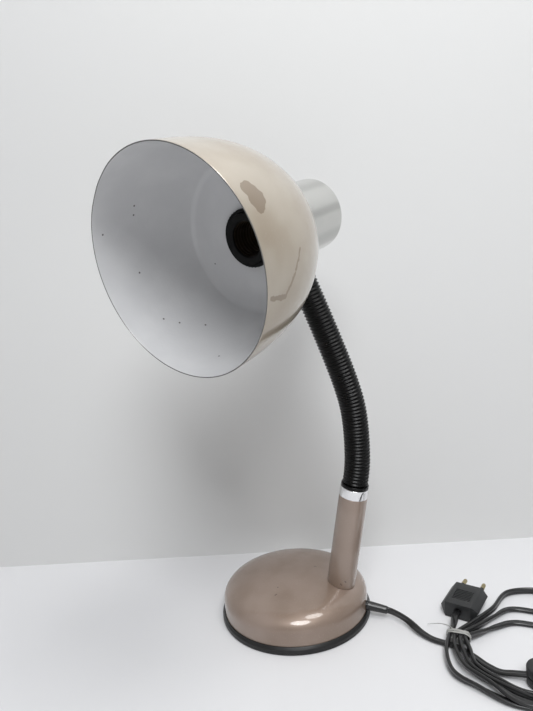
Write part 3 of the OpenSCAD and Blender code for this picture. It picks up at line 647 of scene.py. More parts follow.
class Shape:
    """A mesh in the making, in millimetres on the piece's own axes."""

    def __init__(self) -> None:
        """Starts empty."""
        self.points: list[Point] = []
        self.faces: list[tuple[int, ...]] = []
        self.dress: list[int] = []

    def grid(
        self, rings: np.ndarray, dress: Sequence[int] | int = 0, around: bool = True,
        along: bool = False, caps: bool = False,
    ) -> None:
        """Adds a skin over rings of points.

        Args:
            rings: place of each point, by ring and by place in its ring.
            dress: material number, of each strip between rings or of all.
            around: whether each ring closes on itself.
            along: whether the last ring goes on to the first.
            caps: whether the first and last ring are filled.
        """
        m, n = rings.shape[:2]
        first = len(self.points)
        self.points += [tuple(p) for p in rings.reshape(-1, 3)]
        for i in range(m if along else m - 1):
            number = dress if isinstance(dress, int) else dress[i]
            for j in range(n if around else n - 1):
                a, b = i * n + j, i * n + (j + 1) % n
                c, d = ((i + 1) % m) * n + (j + 1) % n, ((i + 1) % m) * n + j
                self.faces.append(tuple(first + k for k in (a, b, c, d)))
                self.dress.append(number)
        if caps:
            last = first + (m - 1) * n
            self.faces += [tuple(range(first, first + n))[::-1], tuple(range(last, last + n))]
            self.dress += [dress, dress] if isinstance(dress, int) else [dress[0], dress[-1]]

    def turn(
        self, profile: Sequence[tuple[float, float]], sides: int = 96, dress: Sequence[int] | int = 0
    ) -> None:
        """Adds a closed profile of radius and height, turned about Z."""
        p = np.array(profile, float)
        area = np.sum(p[:, 0] * np.roll(p[:, 1], -1) - np.roll(p[:, 0], -1) * p[:, 1])
        if area < 0:
            p = p[::-1]
            if not isinstance(dress, int):
                dress = list(dress)[-2::-1] + [dress[-1]]
        a = circle(sides)
        rings = np.stack(
            [p[:, :1] * np.cos(a), p[:, :1] * np.sin(a), np.repeat(p[:, 1:], sides, 1)], 2
        )
        self.grid(rings, dress, along=True)

    def block(self, outline: np.ndarray, low: float, high: float, edge: float = 0.4, dress: int = 0) -> None:
        """Adds a closed outline in X and Y, raised from low to high with softened edges."""
        middle = outline.mean(0)
        far = np.abs(outline - middle).max(0)
        small = middle + (outline - middle) * (1 - edge / far)
        tiny = middle + (outline - middle) * (1 - 0.35 * edge / far)
        levels = [(small, low), (tiny, low + 0.3 * edge), (outline, low + edge), (outline, high - edge),
                  (tiny, high - 0.3 * edge), (small, high)]
        self.grid(np.array([np.c_[o, np.full(len(o), z)] for o, z in levels]), dress, caps=True)

    def join(self, other: "Shape", pose: Matrix) -> None:
        """Adds another shape, moved by a pose."""
        first = len(self.points)
        self.points += [tuple(pose @ Vector(p)) for p in other.points]
        self.faces += [tuple(first + i for i in f) for f in other.faces]
        self.dress += other.dress

    @staticmethod
    def _merge(bm: bmesh.types.BMesh) -> None:
        """Joins points that lie together and drops faces without area."""
        bmesh.ops.remove_doubles(bm, verts=bm.verts, dist=1e-4)
        bmesh.ops.dissolve_degenerate(bm, edges=bm.edges, dist=1e-5)

    def piece(
        self, name: str, materials: Sequence[bpy.types.Material], at: Matrix | None = None,
        sharp: float = 32.0,
    ) -> bpy.types.Object:
        """Makes the object: merged, closed, smooth but for its corners, at the origin.

        Args:
            name: the piece's name.
            materials: its materials in the order of the material numbers.
            at: where its own axes lie in the row frame, in millimetres.
            sharp: angle in degrees past which an edge stays a corner.
        """
        mesh = bpy.data.meshes.new(name)
        mesh.from_pydata(self.points, [], self.faces)
        own = mesh.attributes.new("own", "FLOAT_VECTOR", "POINT")
        own.data.foreach_set("vector", np.array(self.points, np.float32).ravel())
        mesh.polygons.foreach_set("material_index", self.dress)
        edited(mesh, self._merge)
        mesh.transform(Matrix.Scale(MM, 4) @ (at or Matrix.Identity(4)))
        for m in materials:
            mesh.materials.append(m)
        smooth(mesh, sharp)
        return shown(name, mesh)


def seat(piece: bpy.types.Object, body: str, slot: str, *nodes: str) -> bpy.types.Object:
    """Ties a finished piece to its body and hides the CAD nodes that it stands for; the slot is not used."""
    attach(piece, body)
    if nodes:
        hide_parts(*nodes)
    return piece


def facing(origin: Sequence[float], axis: Sequence[float], side: Sequence[float]) -> Matrix:
    """Axes with their origin given in mm, Z along axis and X as near to side as it can be."""
    z = Vector(axis).normalized()
    x = (Vector(side) - z * Vector(side).dot(z)).normalized()
    y = z.cross(x)
    m = Matrix((x, y, z)).transposed().to_4x4()
    m.translation = Vector(origin)
    return m


# ---- Foot and pillar ----


@dataclass
class Foot:
    """The weighted foot: a black ring, a domed lacquered shell, and what is under them.

    Attributes:
        radius: outside of the ring.
        shell: outside of the shell's wall.
        lip: height of the ring's lip.
        wall: top of the shell's straight wall.
        rise: rise of the dome above it.
        power: roundness of the dome's shoulder.
        sheet: thickness of the shell.
        floor: thickness of the felt, on which the shell's edge stands.
    """

    radius: float = 72.0
    shell: float = 69.5
    lip: float = 6.5
    wall: float = 16.0
    rise: float = 23.0
    power: float = 2.46
    sheet: float = 1.2
    floor: float = 2.0

    def dome(self, r: float) -> float:
        """Height of the shell's outside at a radius."""
        return self.wall + self.rise * (1 - min(1.0, (r / self.shell)) ** self.power) ** (1 / self.power)

    def arc(self, a: float, b: float, steps: int = 90) -> list[tuple[float, float]]:
        """Profile of a dome of radius a and rise b, from its rim to its middle."""
        turns = [0.5 * math.pi * i / steps for i in range(steps)]
        power = 2 / self.power
        side = [(a * math.cos(t) ** power, self.wall + b * math.sin(t) ** power) for t in turns]
        return side + [(0.0, self.wall + b)]

    def build(self, m: dict[str, bpy.types.Material]) -> None:
        """Makes and dresses the pieces of the foot."""
        shell = Shape()
        inner = self.arc(self.shell - self.sheet, self.rise - self.sheet)
        shell.turn([(self.shell - self.sheet, self.floor), (self.shell, self.floor)]
                   + self.arc(self.shell, self.rise) + inner[::-1], 192)
        seat(shell.piece("shell_pressing", [m["foot_lacquer"]]), "base", "base_lacquer", "base_shell")
        ring = Shape()
        inside = self.shell - self.sheet - 2.05
        ring.turn(rounded([
            (62.2, 0), (self.radius, 0), (self.radius, self.lip * 0.62), (self.shell + 0.75, self.lip),
            (self.shell + 0.05, self.lip), (self.shell + 0.05, self.floor), (inside, self.floor),
            (62.2, self.floor)], 0.7, 5), 192)
        seat(ring.piece("edge_moulding", [m["foot_rubber"]]), "base", "black_moulding", "foot_ring")


@dataclass
class Pillar:
    """The leaning painted tube with its chromed collar.

    Attributes:
        stand: distance of its foot behind the middle.
        lean: its backward lean in degrees.
        radius: outside of the tube.
        sheet: wall of the tube.
        length: length of the tube on its axis.
        collar: height of the collar.
        bore: hole through the collar.
    """

    foot: Foot
    stand: float = 48.0
    lean: float = 11.4
    radius: float = 13.0
    sheet: float = 1.2
    length: float = 86.9
    collar: float = 9.0
    bore: float = 7.55

    def axes(self, up: float = 0.0) -> Matrix:
        """The tube's own axes, moved up along it."""
        a = math.radians(self.lean)
        way = Vector((math.sin(a), 0, math.cos(a)))
        start = Vector((self.stand, 0, self.foot.dome(self.stand)))
        return facing(start + up * way, way, (1, 0, 0))

    def landing(self, r: float, angle: float) -> float:
        """Height on the tube's axes where a line down its side meets the dome."""
        at, low, high = self.axes(), -8.0, 12.0
        for _ in range(40):
            middle = 0.5 * (low + high)
            p = at @ Vector((r * math.cos(angle), r * math.sin(angle), middle))
            low, high = (low, middle) if p.z > self.foot.dome(math.hypot(p.x, p.y)) else (middle, high)
        return high

    def build(self, m: dict[str, bpy.types.Material]) -> None:
        """Makes and dresses the tube and the collar."""
        sides, tube = 128, Shape()
        inner = self.radius - self.sheet
        angles = circle(sides)
        ground = np.array([self.landing(self.radius, a) for a in angles]) + 0.06
        under = np.array([self.landing(inner, a) for a in angles]) + 0.06
        walls = [(inner, under), (self.radius - 0.35, ground), (self.radius, ground + 0.35)]
        walls += [(self.radius, ground + (self.length - ground) * k / 12) for k in range(1, 12)]
        top = np.full(sides, self.length)
        walls += [(self.radius, top - 0.3), (self.radius - 0.3, top), (inner, top)]
        tube.grid(np.array([np.c_[r * np.cos(angles), r * np.sin(angles), z] for r, z in walls]), along=True)
        pipe = tube.piece("pillar_pipe", [m["pillar_lacquer"]], self.axes())
        seat(pipe, "base", "base_lacquer", "pillar_tube")
        collar = Shape()
        collar.turn(rounded([
            (self.bore, -6), (inner - 0.05, -6), (inner - 0.05, 0), (self.radius, 0),
            (self.radius, self.collar), (self.bore, self.collar)], 0.45, 4), 128)
        ring = collar.piece("collar_ring", [m["collar_chrome"]], self.axes(self.length))
        seat(ring, "base", "chrome", "collar")


# ---- Neck ----


class Growth:
    """A Geometry Nodes tree that makes a skin from numbers, a line of edges in metres and a material.

    Attributes:
        NAME: the tree's name.
        SIZES: its inputs that are sizes, with their usual values in metres.
        COUNTS: its inputs that are whole numbers.
    """

    NAME: str = ""
    SIZES: dict[str, float] = {}
    COUNTS: dict[str, int] = {}

    def __init__(self) -> None:
        """Builds the tree once."""
        self.tree = bpy.data.node_groups.new(self.NAME, "GeometryNodeTree")
        face = self.tree.interface
        face.new_socket("Geometry", in_out="INPUT", socket_type="NodeSocketGeometry")
        for kind, inputs in (("Float", self.SIZES), ("Int", self.COUNTS)):
            for name, value in inputs.items():
                face.new_socket(name, in_out="INPUT", socket_type="NodeSocket" + kind).default_value = value
        face.new_socket("Material", in_out="INPUT", socket_type="NodeSocketMaterial")
        face.new_socket("Geometry", in_out="OUTPUT", socket_type="NodeSocketGeometry")
        given = self.add("NodeGroupInput").outputs
        real = self.add("GeometryNodeRealizeInstances", Geometry=self.skin(given))
        dressed = self.add("GeometryNodeSetMaterial", Geometry=real.outputs[0], Material=given["Material"])
        self.tree.links.new(dressed.outputs[0], self.add("NodeGroupOutput").inputs[0])

    def skin(self, given: bpy.types.bpy_prop_collection) -> bpy.types.NodeSocket:
        """The skin before its instances are made real. Each tree has its own."""
        raise NotImplementedError

    def add(self, kind: str, **inputs: object) -> bpy.types.Node:
        """Adds a node with values or links in its named sockets."""
        node = self.tree.nodes.new(kind)
        for name, value in inputs.items():
            self._put(value, node.inputs[name])
        return node

    def maths(self, operation: str, *values: object) -> bpy.types.NodeSocket:
        """Adds a Math node and returns its result."""
        node = self.tree.nodes.new("ShaderNodeMath")
        node.operation = operation
        for socket, value in zip(node.inputs, values):
            self._put(value, socket)
        return node.outputs[0]

    def _put(self, value: object, socket: bpy.types.NodeSocket) -> None:
        """Links an output to a socket, or sets the socket's value."""
        if isinstance(value, bpy.types.NodeSocket):
            self.tree.links.new(value, socket)
        else:
            socket.default_value = value

    def grow(
        self, name: str, line: np.ndarray, material: bpy.types.Material, at: Matrix | None = None,
        **inputs: float,
    ) -> bpy.types.Object:
        """Runs the tree on a line and turns the result into a plain mesh.

        Args:
            name: the piece's name.
            line: the line's points in mm.
            material: the finish of the result.
            at: axes in mm on which the result lies, where those aren't the row frame's.
            inputs: the tree's inputs by name.

        Returns:
            The piece, at the origin.
        """
        seed = bpy.data.meshes.new(name + "_line")
        seed.from_pydata([tuple(p * MM) for p in line], [(i, i + 1) for i in range(len(line) - 1)], [])
        carrier = bpy.data.objects.new(name + "_line", seed)
        bpy.context.scene.collection.objects.link(carrier)
        grow = carrier.modifiers.new("grow", "NODES")
        grow.node_group = self.tree
        sockets = {s.name: s.identifier for s in self.tree.interface.items_tree if s.in_out == "INPUT"}
        for key, value in (inputs | {"Material": material}).items():
            grow[sockets[key]] = value
        bpy.context.view_layer.update()
        ready = carrier.evaluated_get(bpy.context.evaluated_depsgraph_get())
        mesh = bpy.data.meshes.new_from_object(ready)
        bpy.data.objects.remove(carrier)
        mesh.name = name
        places = np.zeros(len(mesh.vertices) * 3, np.float32)
        mesh.vertices.foreach_get("co", places)
        mesh.attributes.new("own", "FLOAT_VECTOR", "POINT").data.foreach_set("vector", places / MM)
        if at is not None:
            mesh.transform(Matrix.Scale(MM, 4) @ at @ Matrix.Scale(1 / MM, 4))
        edited(mesh, self._outwards)
        smooth(mesh, 50)
        return shown(name, mesh)

    @staticmethod
    def _outwards(bm: bmesh.types.BMesh) -> None:
        """Turns an inside-out skin over."""
        if bm.calc_volume(signed=True) < 0:
            bmesh.ops.reverse_faces(bm, faces=bm.faces)


class Ribbing(Growth):
    """A ribbed tube round a line. Run is how far along the neck the line starts."""

    NAME = "ribbed_tube"
    SIZES = {"Radius": 0.0115, "Rib depth": 0.0009, "Rib spacing": 0.0031, "Run": 0.0}
    COUNTS = {"Steps": 120, "Sides": 48}
    ROUNDNESS = 1.8

    def skin(self, given: bpy.types.bpy_prop_collection) -> bpy.types.NodeSocket:
        """The tube, thinner by the rib's depth between two ribs."""
        line = self.add("GeometryNodeMeshToCurve", Mesh=given["Geometry"])
        line = self.add("GeometryNodeResampleCurve", Curve=line.outputs[0], Count=given["Steps"])
        far = self.maths("ADD", self.add("GeometryNodeSplineParameter").outputs["Length"], given["Run"])
        turn = self.maths("MULTIPLY", self.maths("DIVIDE", far, given["Rib spacing"]), math.pi)
        groove = self.maths("POWER", self.maths("ABSOLUTE", self.maths("COSINE", turn)), self.ROUNDNESS)
        radius = self.maths("SUBTRACT", given["Radius"], self.maths("MULTIPLY", groove, given["Rib depth"]))
        ring = self.add("GeometryNodeCurvePrimitiveCircle", Resolution=given["Sides"], Radius=1.0)
        tube = self.add("GeometryNodeCurveToMesh", **{
            "Curve": line.outputs[0], "Profile Curve": ring.outputs[0], "Scale": radius, "Fill Caps": True})
        return tube.outputs[0]


@dataclass
class Neck:
    """The corrugated sleeve of the bendable neck, in one piece for each hinge and one at each end.

    Attributes:
        start: the neck's lower end in mm, on the collar.
        end: its upper end, on the end bush.
        hinges: the middles of its hinges from below.
        bodies: the bodies that it joins, from below.
        radius: outside of the ribs.
        spacing: spacing of the ribs.
        depth: depth of the ribs.
        cuff: outside of the smooth cuffs.
        cuff_height: height of a cuff.
        bush: thickness of the end bush's flange.
    """

    start: Vector
    end: Vector
    hinges: list[Vector]
    bodies: list[str]
    radius: float = 11.5
    spacing: float = 3.1
    depth: float = 1.1
    cuff: float = 12.4
    cuff_height: float = 3.0
    bush: float = 5.0

    def stations(self) -> list[Vector]:
        """Where the pieces meet: the neck's ends and the middles between hinges."""
        first = self.start + (self.hinges[0] - self.start) * 0.5
        between = [(a + b) / 2 for a, b in zip(self.hinges, self.hinges[1:])]
        way = (self.end - self.hinges[-1]).normalized()
        last = self.hinges[-1] + 0.5 * ((self.end - self.hinges[-1]).length - self.bush) * way
        return [self.start, first, *between, last, self.end - way * self.bush]

    def build(self, m: dict[str, bpy.types.Material]) -> None:
        """Makes and dresses the sleeve and its two cuffs."""
        ribbing, at, run = Ribbing(), self.stations(), 0.0
        for i, (low, high) in enumerate(zip(at, at[1:])):
            bend = self.hinges[i - 1] if 0 < i < len(at) - 2 else (low + high) / 2
            t = np.linspace(0, 1, 60)[:, None]
            line = (1 - t) ** 2 * np.array(low) + 2 * t * (1 - t) * np.array(bend) + t * t * np.array(high)
            length = float(np.linalg.norm(np.diff(line, axis=0), axis=1).sum())
            tube = ribbing.grow(
                f"sleeve_{i}", line, m["sleeve_vinyl"], Run=run * MM, Radius=self.radius * MM,
                Steps=max(8, round(length / self.spacing * 12)),
                **{"Rib depth": self.depth * MM, "Rib spacing": self.spacing * MM},
            )
            run += length
            if 0 < i < len(at) - 2:
                back, on = (low - bend).normalized(), (high - bend).normalized()
                reach = min((low - bend).length, (high - bend).length) - 1.3
                below, above = self.bodies[i - 1:i + 1]
                (bend + back * reach) * MM
                (bend + on * reach) * MM
                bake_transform(tube)
                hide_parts(f"neck_sleeve_{i + 1}")
            else:
                body, node = (self.bodies[0], 1) if i == 0 else (self.bodies[-1], 8)
                seat(tube, body, "sleeve_pvc", f"neck_sleeve_{node}")
        for name, body, where, way in (
            ("lower_cuff", self.bodies[0], self.start, at[1] - at[0]),
            ("upper_cuff", self.bodies[-1], at[-1], at[-2] - at[-1]),
        ):
            cuff = Shape()
            cuff.turn(rounded([
                (self.radius - 2, 0), (self.cuff, 0), (self.cuff, self.cuff_height),
                (self.radius - 2, self.cuff_height)], 0.6, 4), 96)
            seat(cuff.piece(name, [m["sleeve_vinyl"]], facing(where, way, (1, 0, 0))), body, "sleeve_pvc")


# ---- Head ----


class Grips(Growth):
    """Upright round ribs on a circle, as on a threaded ring. Low is the height of their middles."""

    NAME = "grip_ribs"
    SIZES = {"Radius": 0.0227, "Rib radius": 0.0006, "Height": 0.0028, "Low": 0.0}
    COUNTS = {"Count": 36}

    def skin(self, given: bpy.types.bpy_prop_collection) -> bpy.types.NodeSocket:
        """A rib on every point of the circle."""
        ring = self.add(
            "GeometryNodeCurvePrimitiveCircle", Resolution=given["Count"], Radius=given["Radius"])
        rib = self.add(
            "GeometryNodeMeshCylinder", Vertices=12, Radius=given["Rib radius"], Depth=given["Height"])
        ribs = self.add(
            "GeometryNodeInstanceOnPoints", Points=ring.outputs[0], Instance=rib.outputs["Mesh"])
        lift = self.add("ShaderNodeCombineXYZ", Z=given["Low"])
        up = self.add("GeometryNodeTransform", Geometry=ribs.outputs[0], Translation=lift.outputs[0])
        return up.outputs[0]


@dataclass
class Head:
    """The saddle, cup, bowl shade and lampholder, on axes that run from the rim's middle to the cup's end.

    Attributes:
        axes: those axes in the row frame, with X towards the neck.
        rim: outside radius of the shade's rim.
        depth: distance from the rim to the flat back.
        taper: share of the radius lost between them.
        power: how late the side curves in.
        corner: size of the rounding at the back.
        sheet: thickness of shade and cup.
        cup: outside radius of the cup.
        cup_end: distance from the rim to the cup's end.
        fillet: rounding of the cup's end.
        neck: radius of the saddle.
        nipple: distance from the rim to the swivel.
        saddle: thickness of the saddle between neck and cup.
        skirt: radius of the lampholder's skirt.
        ring: radius of the shade ring.
        socket: radius of the screw socket.
        pitch: pitch of its thread.
        seat_end: distance from the rim to the end of the holder's bore.
        dents: angle in degrees, depth and width in degrees of each dent in the rim.
    """

    axes: Matrix
    rim: float = 80.0
    depth: float = 88.8
    taper: float = 0.24
    power: float = 2.93
    corner: float = 4.0
    sheet: float = 0.8
    cup: float = 31.0
    cup_end: float = 178.2
    fillet: float = 3.0
    neck: float = 11.5
    nipple: float = 126.8
    saddle: float = 3.0
    skirt: float = 20.2
    ring: float = 23.3
    socket: float = 13.3
    pitch: float = 3.62
    seat_end: float = 110.0
    dents: tuple[tuple[float, float, float], ...] = ((150.0, 0.4, 6.0), (163.0, 0.25, 5.0))

    def side(self, inset: float, steps: int = 56) -> list[tuple[float, float]]:
        """Profile of the bowl from its rim to the end of its rounded corner, inset by a wall."""
        last = 1 - self.corner / self.depth
        out = []
        for i in range(steps + 1):
            s = last * (1 - (1 - i / steps) ** 1.4)
            out.append(((self.rim - inset) * (1 - self.taper * s**self.power), s * self.depth))
        r, z = out[-1]
        for i in range(1, 13):
            t = math.radians(7.5 * i)
            reach = (1 - math.cos(t)) * self.corner + math.sin(t) * self.corner * 0.35
            out.append((r - reach, z + (self.corner - inset) * math.sin(t)))
        return out

    def build(self, m: dict[str, bpy.types.Material]) -> None:
        """Makes and dresses the pieces of the head."""
        self.bowl(m)
        self.can(m)
        self.lampholder(m)

    def bowl(self, m: dict[str, bpy.types.Material]) -> None:
        """The shade: lacquer outside, enamel inside, and a bare edge with its dents."""
        outer, inner = self.side(0), self.side(self.sheet)
        edge = [(self.rim, 0.3), (self.rim - 0.12, 0.08), (self.rim - 0.3, 0.0), (self.rim - 0.5, 0.0),
                (self.rim - 0.68, 0.08), (self.rim - 0.8, 0.3)]
        back, hole = self.depth, self.skirt + 0.15
        flat = [(outer[-1][0] + (hole - outer[-1][0]) * k / 10) for k in range(1, 11)]
        skin = outer[1:] + [(r, back) for r in flat]
        lining = [(r, back - self.sheet) for r in flat[::-1]] + inner[:0:-1]
        profile = edge[::-1] + skin + lining
        numbers = [2] * (len(edge) - 1) + [0] * (len(skin) + 1) + [1] * len(lining)
        bowl = Shape()
        bowl.turn(profile, 256, numbers)
        bowl.points = [self.dented(p) for p in bowl.points]
        seat(bowl.piece("bowl_shade", [m["shade_lacquer"], m["shade_enamel"], m["bare_edge"]], self.axes),
             "head", "shade_lacquer", "shade")

    def dented(self, p: Point) -> Point:
        """A point of the bowl after the rim's dents."""
        x, y, z = p
        angle, pull = math.degrees(math.atan2(y, x)), 0.0
        for at, deep, wide in self.dents:
            off = (angle - at + 180) % 360 - 180
            pull += deep * math.exp(-((off / wide) ** 2)) * math.exp(-z / 9)
        k = 1 - pull / max(math.hypot(x, y), 1)
        return (x * k, y * k, z)

    def can(self, m: dict[str, bpy.types.Material]) -> None:
        """The spun cup and the saddle between it and the neck."""
        r, end, sheet, fillet = self.cup, self.cup_end, self.sheet, self.fillet
        turns = [math.radians(t) for t in range(0, 91, 6)]
        outer, inner = ([(r - fillet + bend * math.cos(t), end - fillet + bend * math.sin(t)) for t in turns]
                        for bend in (fillet, fillet - sheet))
        low = self.depth + 0.05
        wall = [low + (end - fillet - low) * k / 16 for k in range(1, 16)]
        cap = [(r - fillet) * k / 8 for k in range(7, 0, -1)]
        can = Shape()
        can.turn(
            [(r - sheet, low), (r - 0.25, low), (r, low + 0.25)] + [(r, z) for z in wall] + outer
            + [(c, end) for c in cap] + [(0, end), (0, end - sheet)]
            + [(c, end - sheet) for c in cap[::-1]] + inner[::-1], 160)
        seat(can.piece("spun_cup", [m["spun_aluminium"]], self.axes), "head", "cup_aluminium", "cup")
        pad, a = Shape(), circle(96)
        rows = []
        for radius, high in ((0.0, None), (self.neck - 0.4, None), (self.neck, None), (self.neck, -0.5),
                             (self.neck - 0.5, 0.0), (0.0, 0.0)):
            y, z = radius * np.cos(a), radius * np.sin(a)
            seat_x = np.sqrt((r + 0.05) ** 2 - y**2)
            x = seat_x if high is None else np.full(96, r + self.saddle + high)
            rows.append(np.stack([x, y, z + self.nipple], 1))
        pad.grid(np.array(rows))
        seat(pad.piece("saddle_pad", [m["black_steel"]], self.axes), "head", "black_moulding", "cup_saddle")

    def lampholder(self, m: dict[str, bpy.types.Material]) -> None:
        """What shows of the lampholder inside the shade: ring, skirt, screw socket."""
        back = self.depth - self.sheet
        low = back - 4
        ring = Shape()
        ring.turn(rounded([(self.skirt + 0.05, low), (self.ring - 0.5, low), (self.ring - 0.5, back),
                           (self.skirt + 0.05, back)], 0.6, 4), 120)
        seat(ring.piece("clamp_ring", [m["bakelite"]], self.axes), "head", "bakelite", "shade_ring")
        grips = Grips().grow("clamp_ring_grips", np.zeros((2, 3)), m["bakelite"], self.axes, **{
            "Radius": (self.ring - 0.62) * MM, "Rib radius": 0.6 * MM, "Height": 2.8 * MM,
            "Low": (low + 2.1) * MM, "Count": 48})
        seat(grips, "head", "bakelite")
        front, bore = back - 6, self.socket + 0.55
        threads = []
        for k in range(3):
            z = front + 1.4 + 1.0 * k
            threads += [(self.skirt, z), (self.skirt - 0.35, z + 0.5)]
        r, flange, end = self.skirt, self.depth + 0.05, self.seat_end
        skirt = Shape()
        skirt.turn(
            [(bore, front + 0.9), (bore + 0.25, front + 0.35), (bore + 0.8, front), (r - 1.2, front),
             (r - 0.4, front + 0.25)] + threads
            + [(r, low + 0.2), (r, flange), (r + 2.6, flange), (r + 2.6, self.depth + 2.5),
               (r, self.depth + 3.5), (r, end + 4), (r - 2.4, end + 4), (r - 2.4, end), (bore, end)], 128)
        seat(skirt.piece("holder_mouth", [m["bakelite"]], self.axes), "head", "bakelite", "holder_skirt")
        shell, a = Shape(), circle(96)
        heights = np.linspace(front + 2, end - 2.1, 110)[:, None]
        wave = 0.5 + 0.5 * np.sin(2 * math.pi * heights / self.pitch - a)
        inside = self.socket + 0.02 + 0.3 * wave
        outside = np.full_like(wave, self.socket + 0.48)
        hull, skin = (np.stack([w * np.cos(a), w * np.sin(a), heights + 0 * w], 2) for w in (outside, inside))
        shell.grid(np.concatenate([hull, skin[::-1]]), along=True)
        # The socket's darkened brass is painted shade, for the deep inside of its mouth.
        seat(shell.piece("screw_socket", [m["shade_darkened_brass"]], self.axes), "head", "brass", "screw_shell")


# ---- Cord ----


def softened(
    piece: bpy.types.Object, width: float, cut: Iterable[bpy.types.Object] = ()
) -> bpy.types.Object:
    """Cuts shapes out of a piece and then softens its corners.

    Args:
        piece: the piece, whose mesh is replaced.
        width: width of the softened corners in mm.
        cut: what is cut out of it. These are deleted.

    Returns:
        The same piece.
    """
    tools = list(cut)
    for tool in tools:
        knife = piece.modifiers.new("cut", "BOOLEAN")
        knife.object, knife.operation, knife.solver = tool, "DIFFERENCE", "EXACT"
    soft = piece.modifiers.new("soft", "BEVEL")
    soft.width, soft.segments, soft.limit_method, soft.angle_limit = width * MM, 3, "ANGLE", math.radians(30)
    bpy.context.view_layer.update()
    ready = piece.evaluated_get(bpy.context.evaluated_depsgraph_get())
    mesh = bpy.data.meshes.new_from_object(ready)
    piece.modifiers.clear()
    piece.data = mesh
    for tool in tools:
        bpy.data.objects.remove(tool)
    smooth(mesh, 32)
    return piece


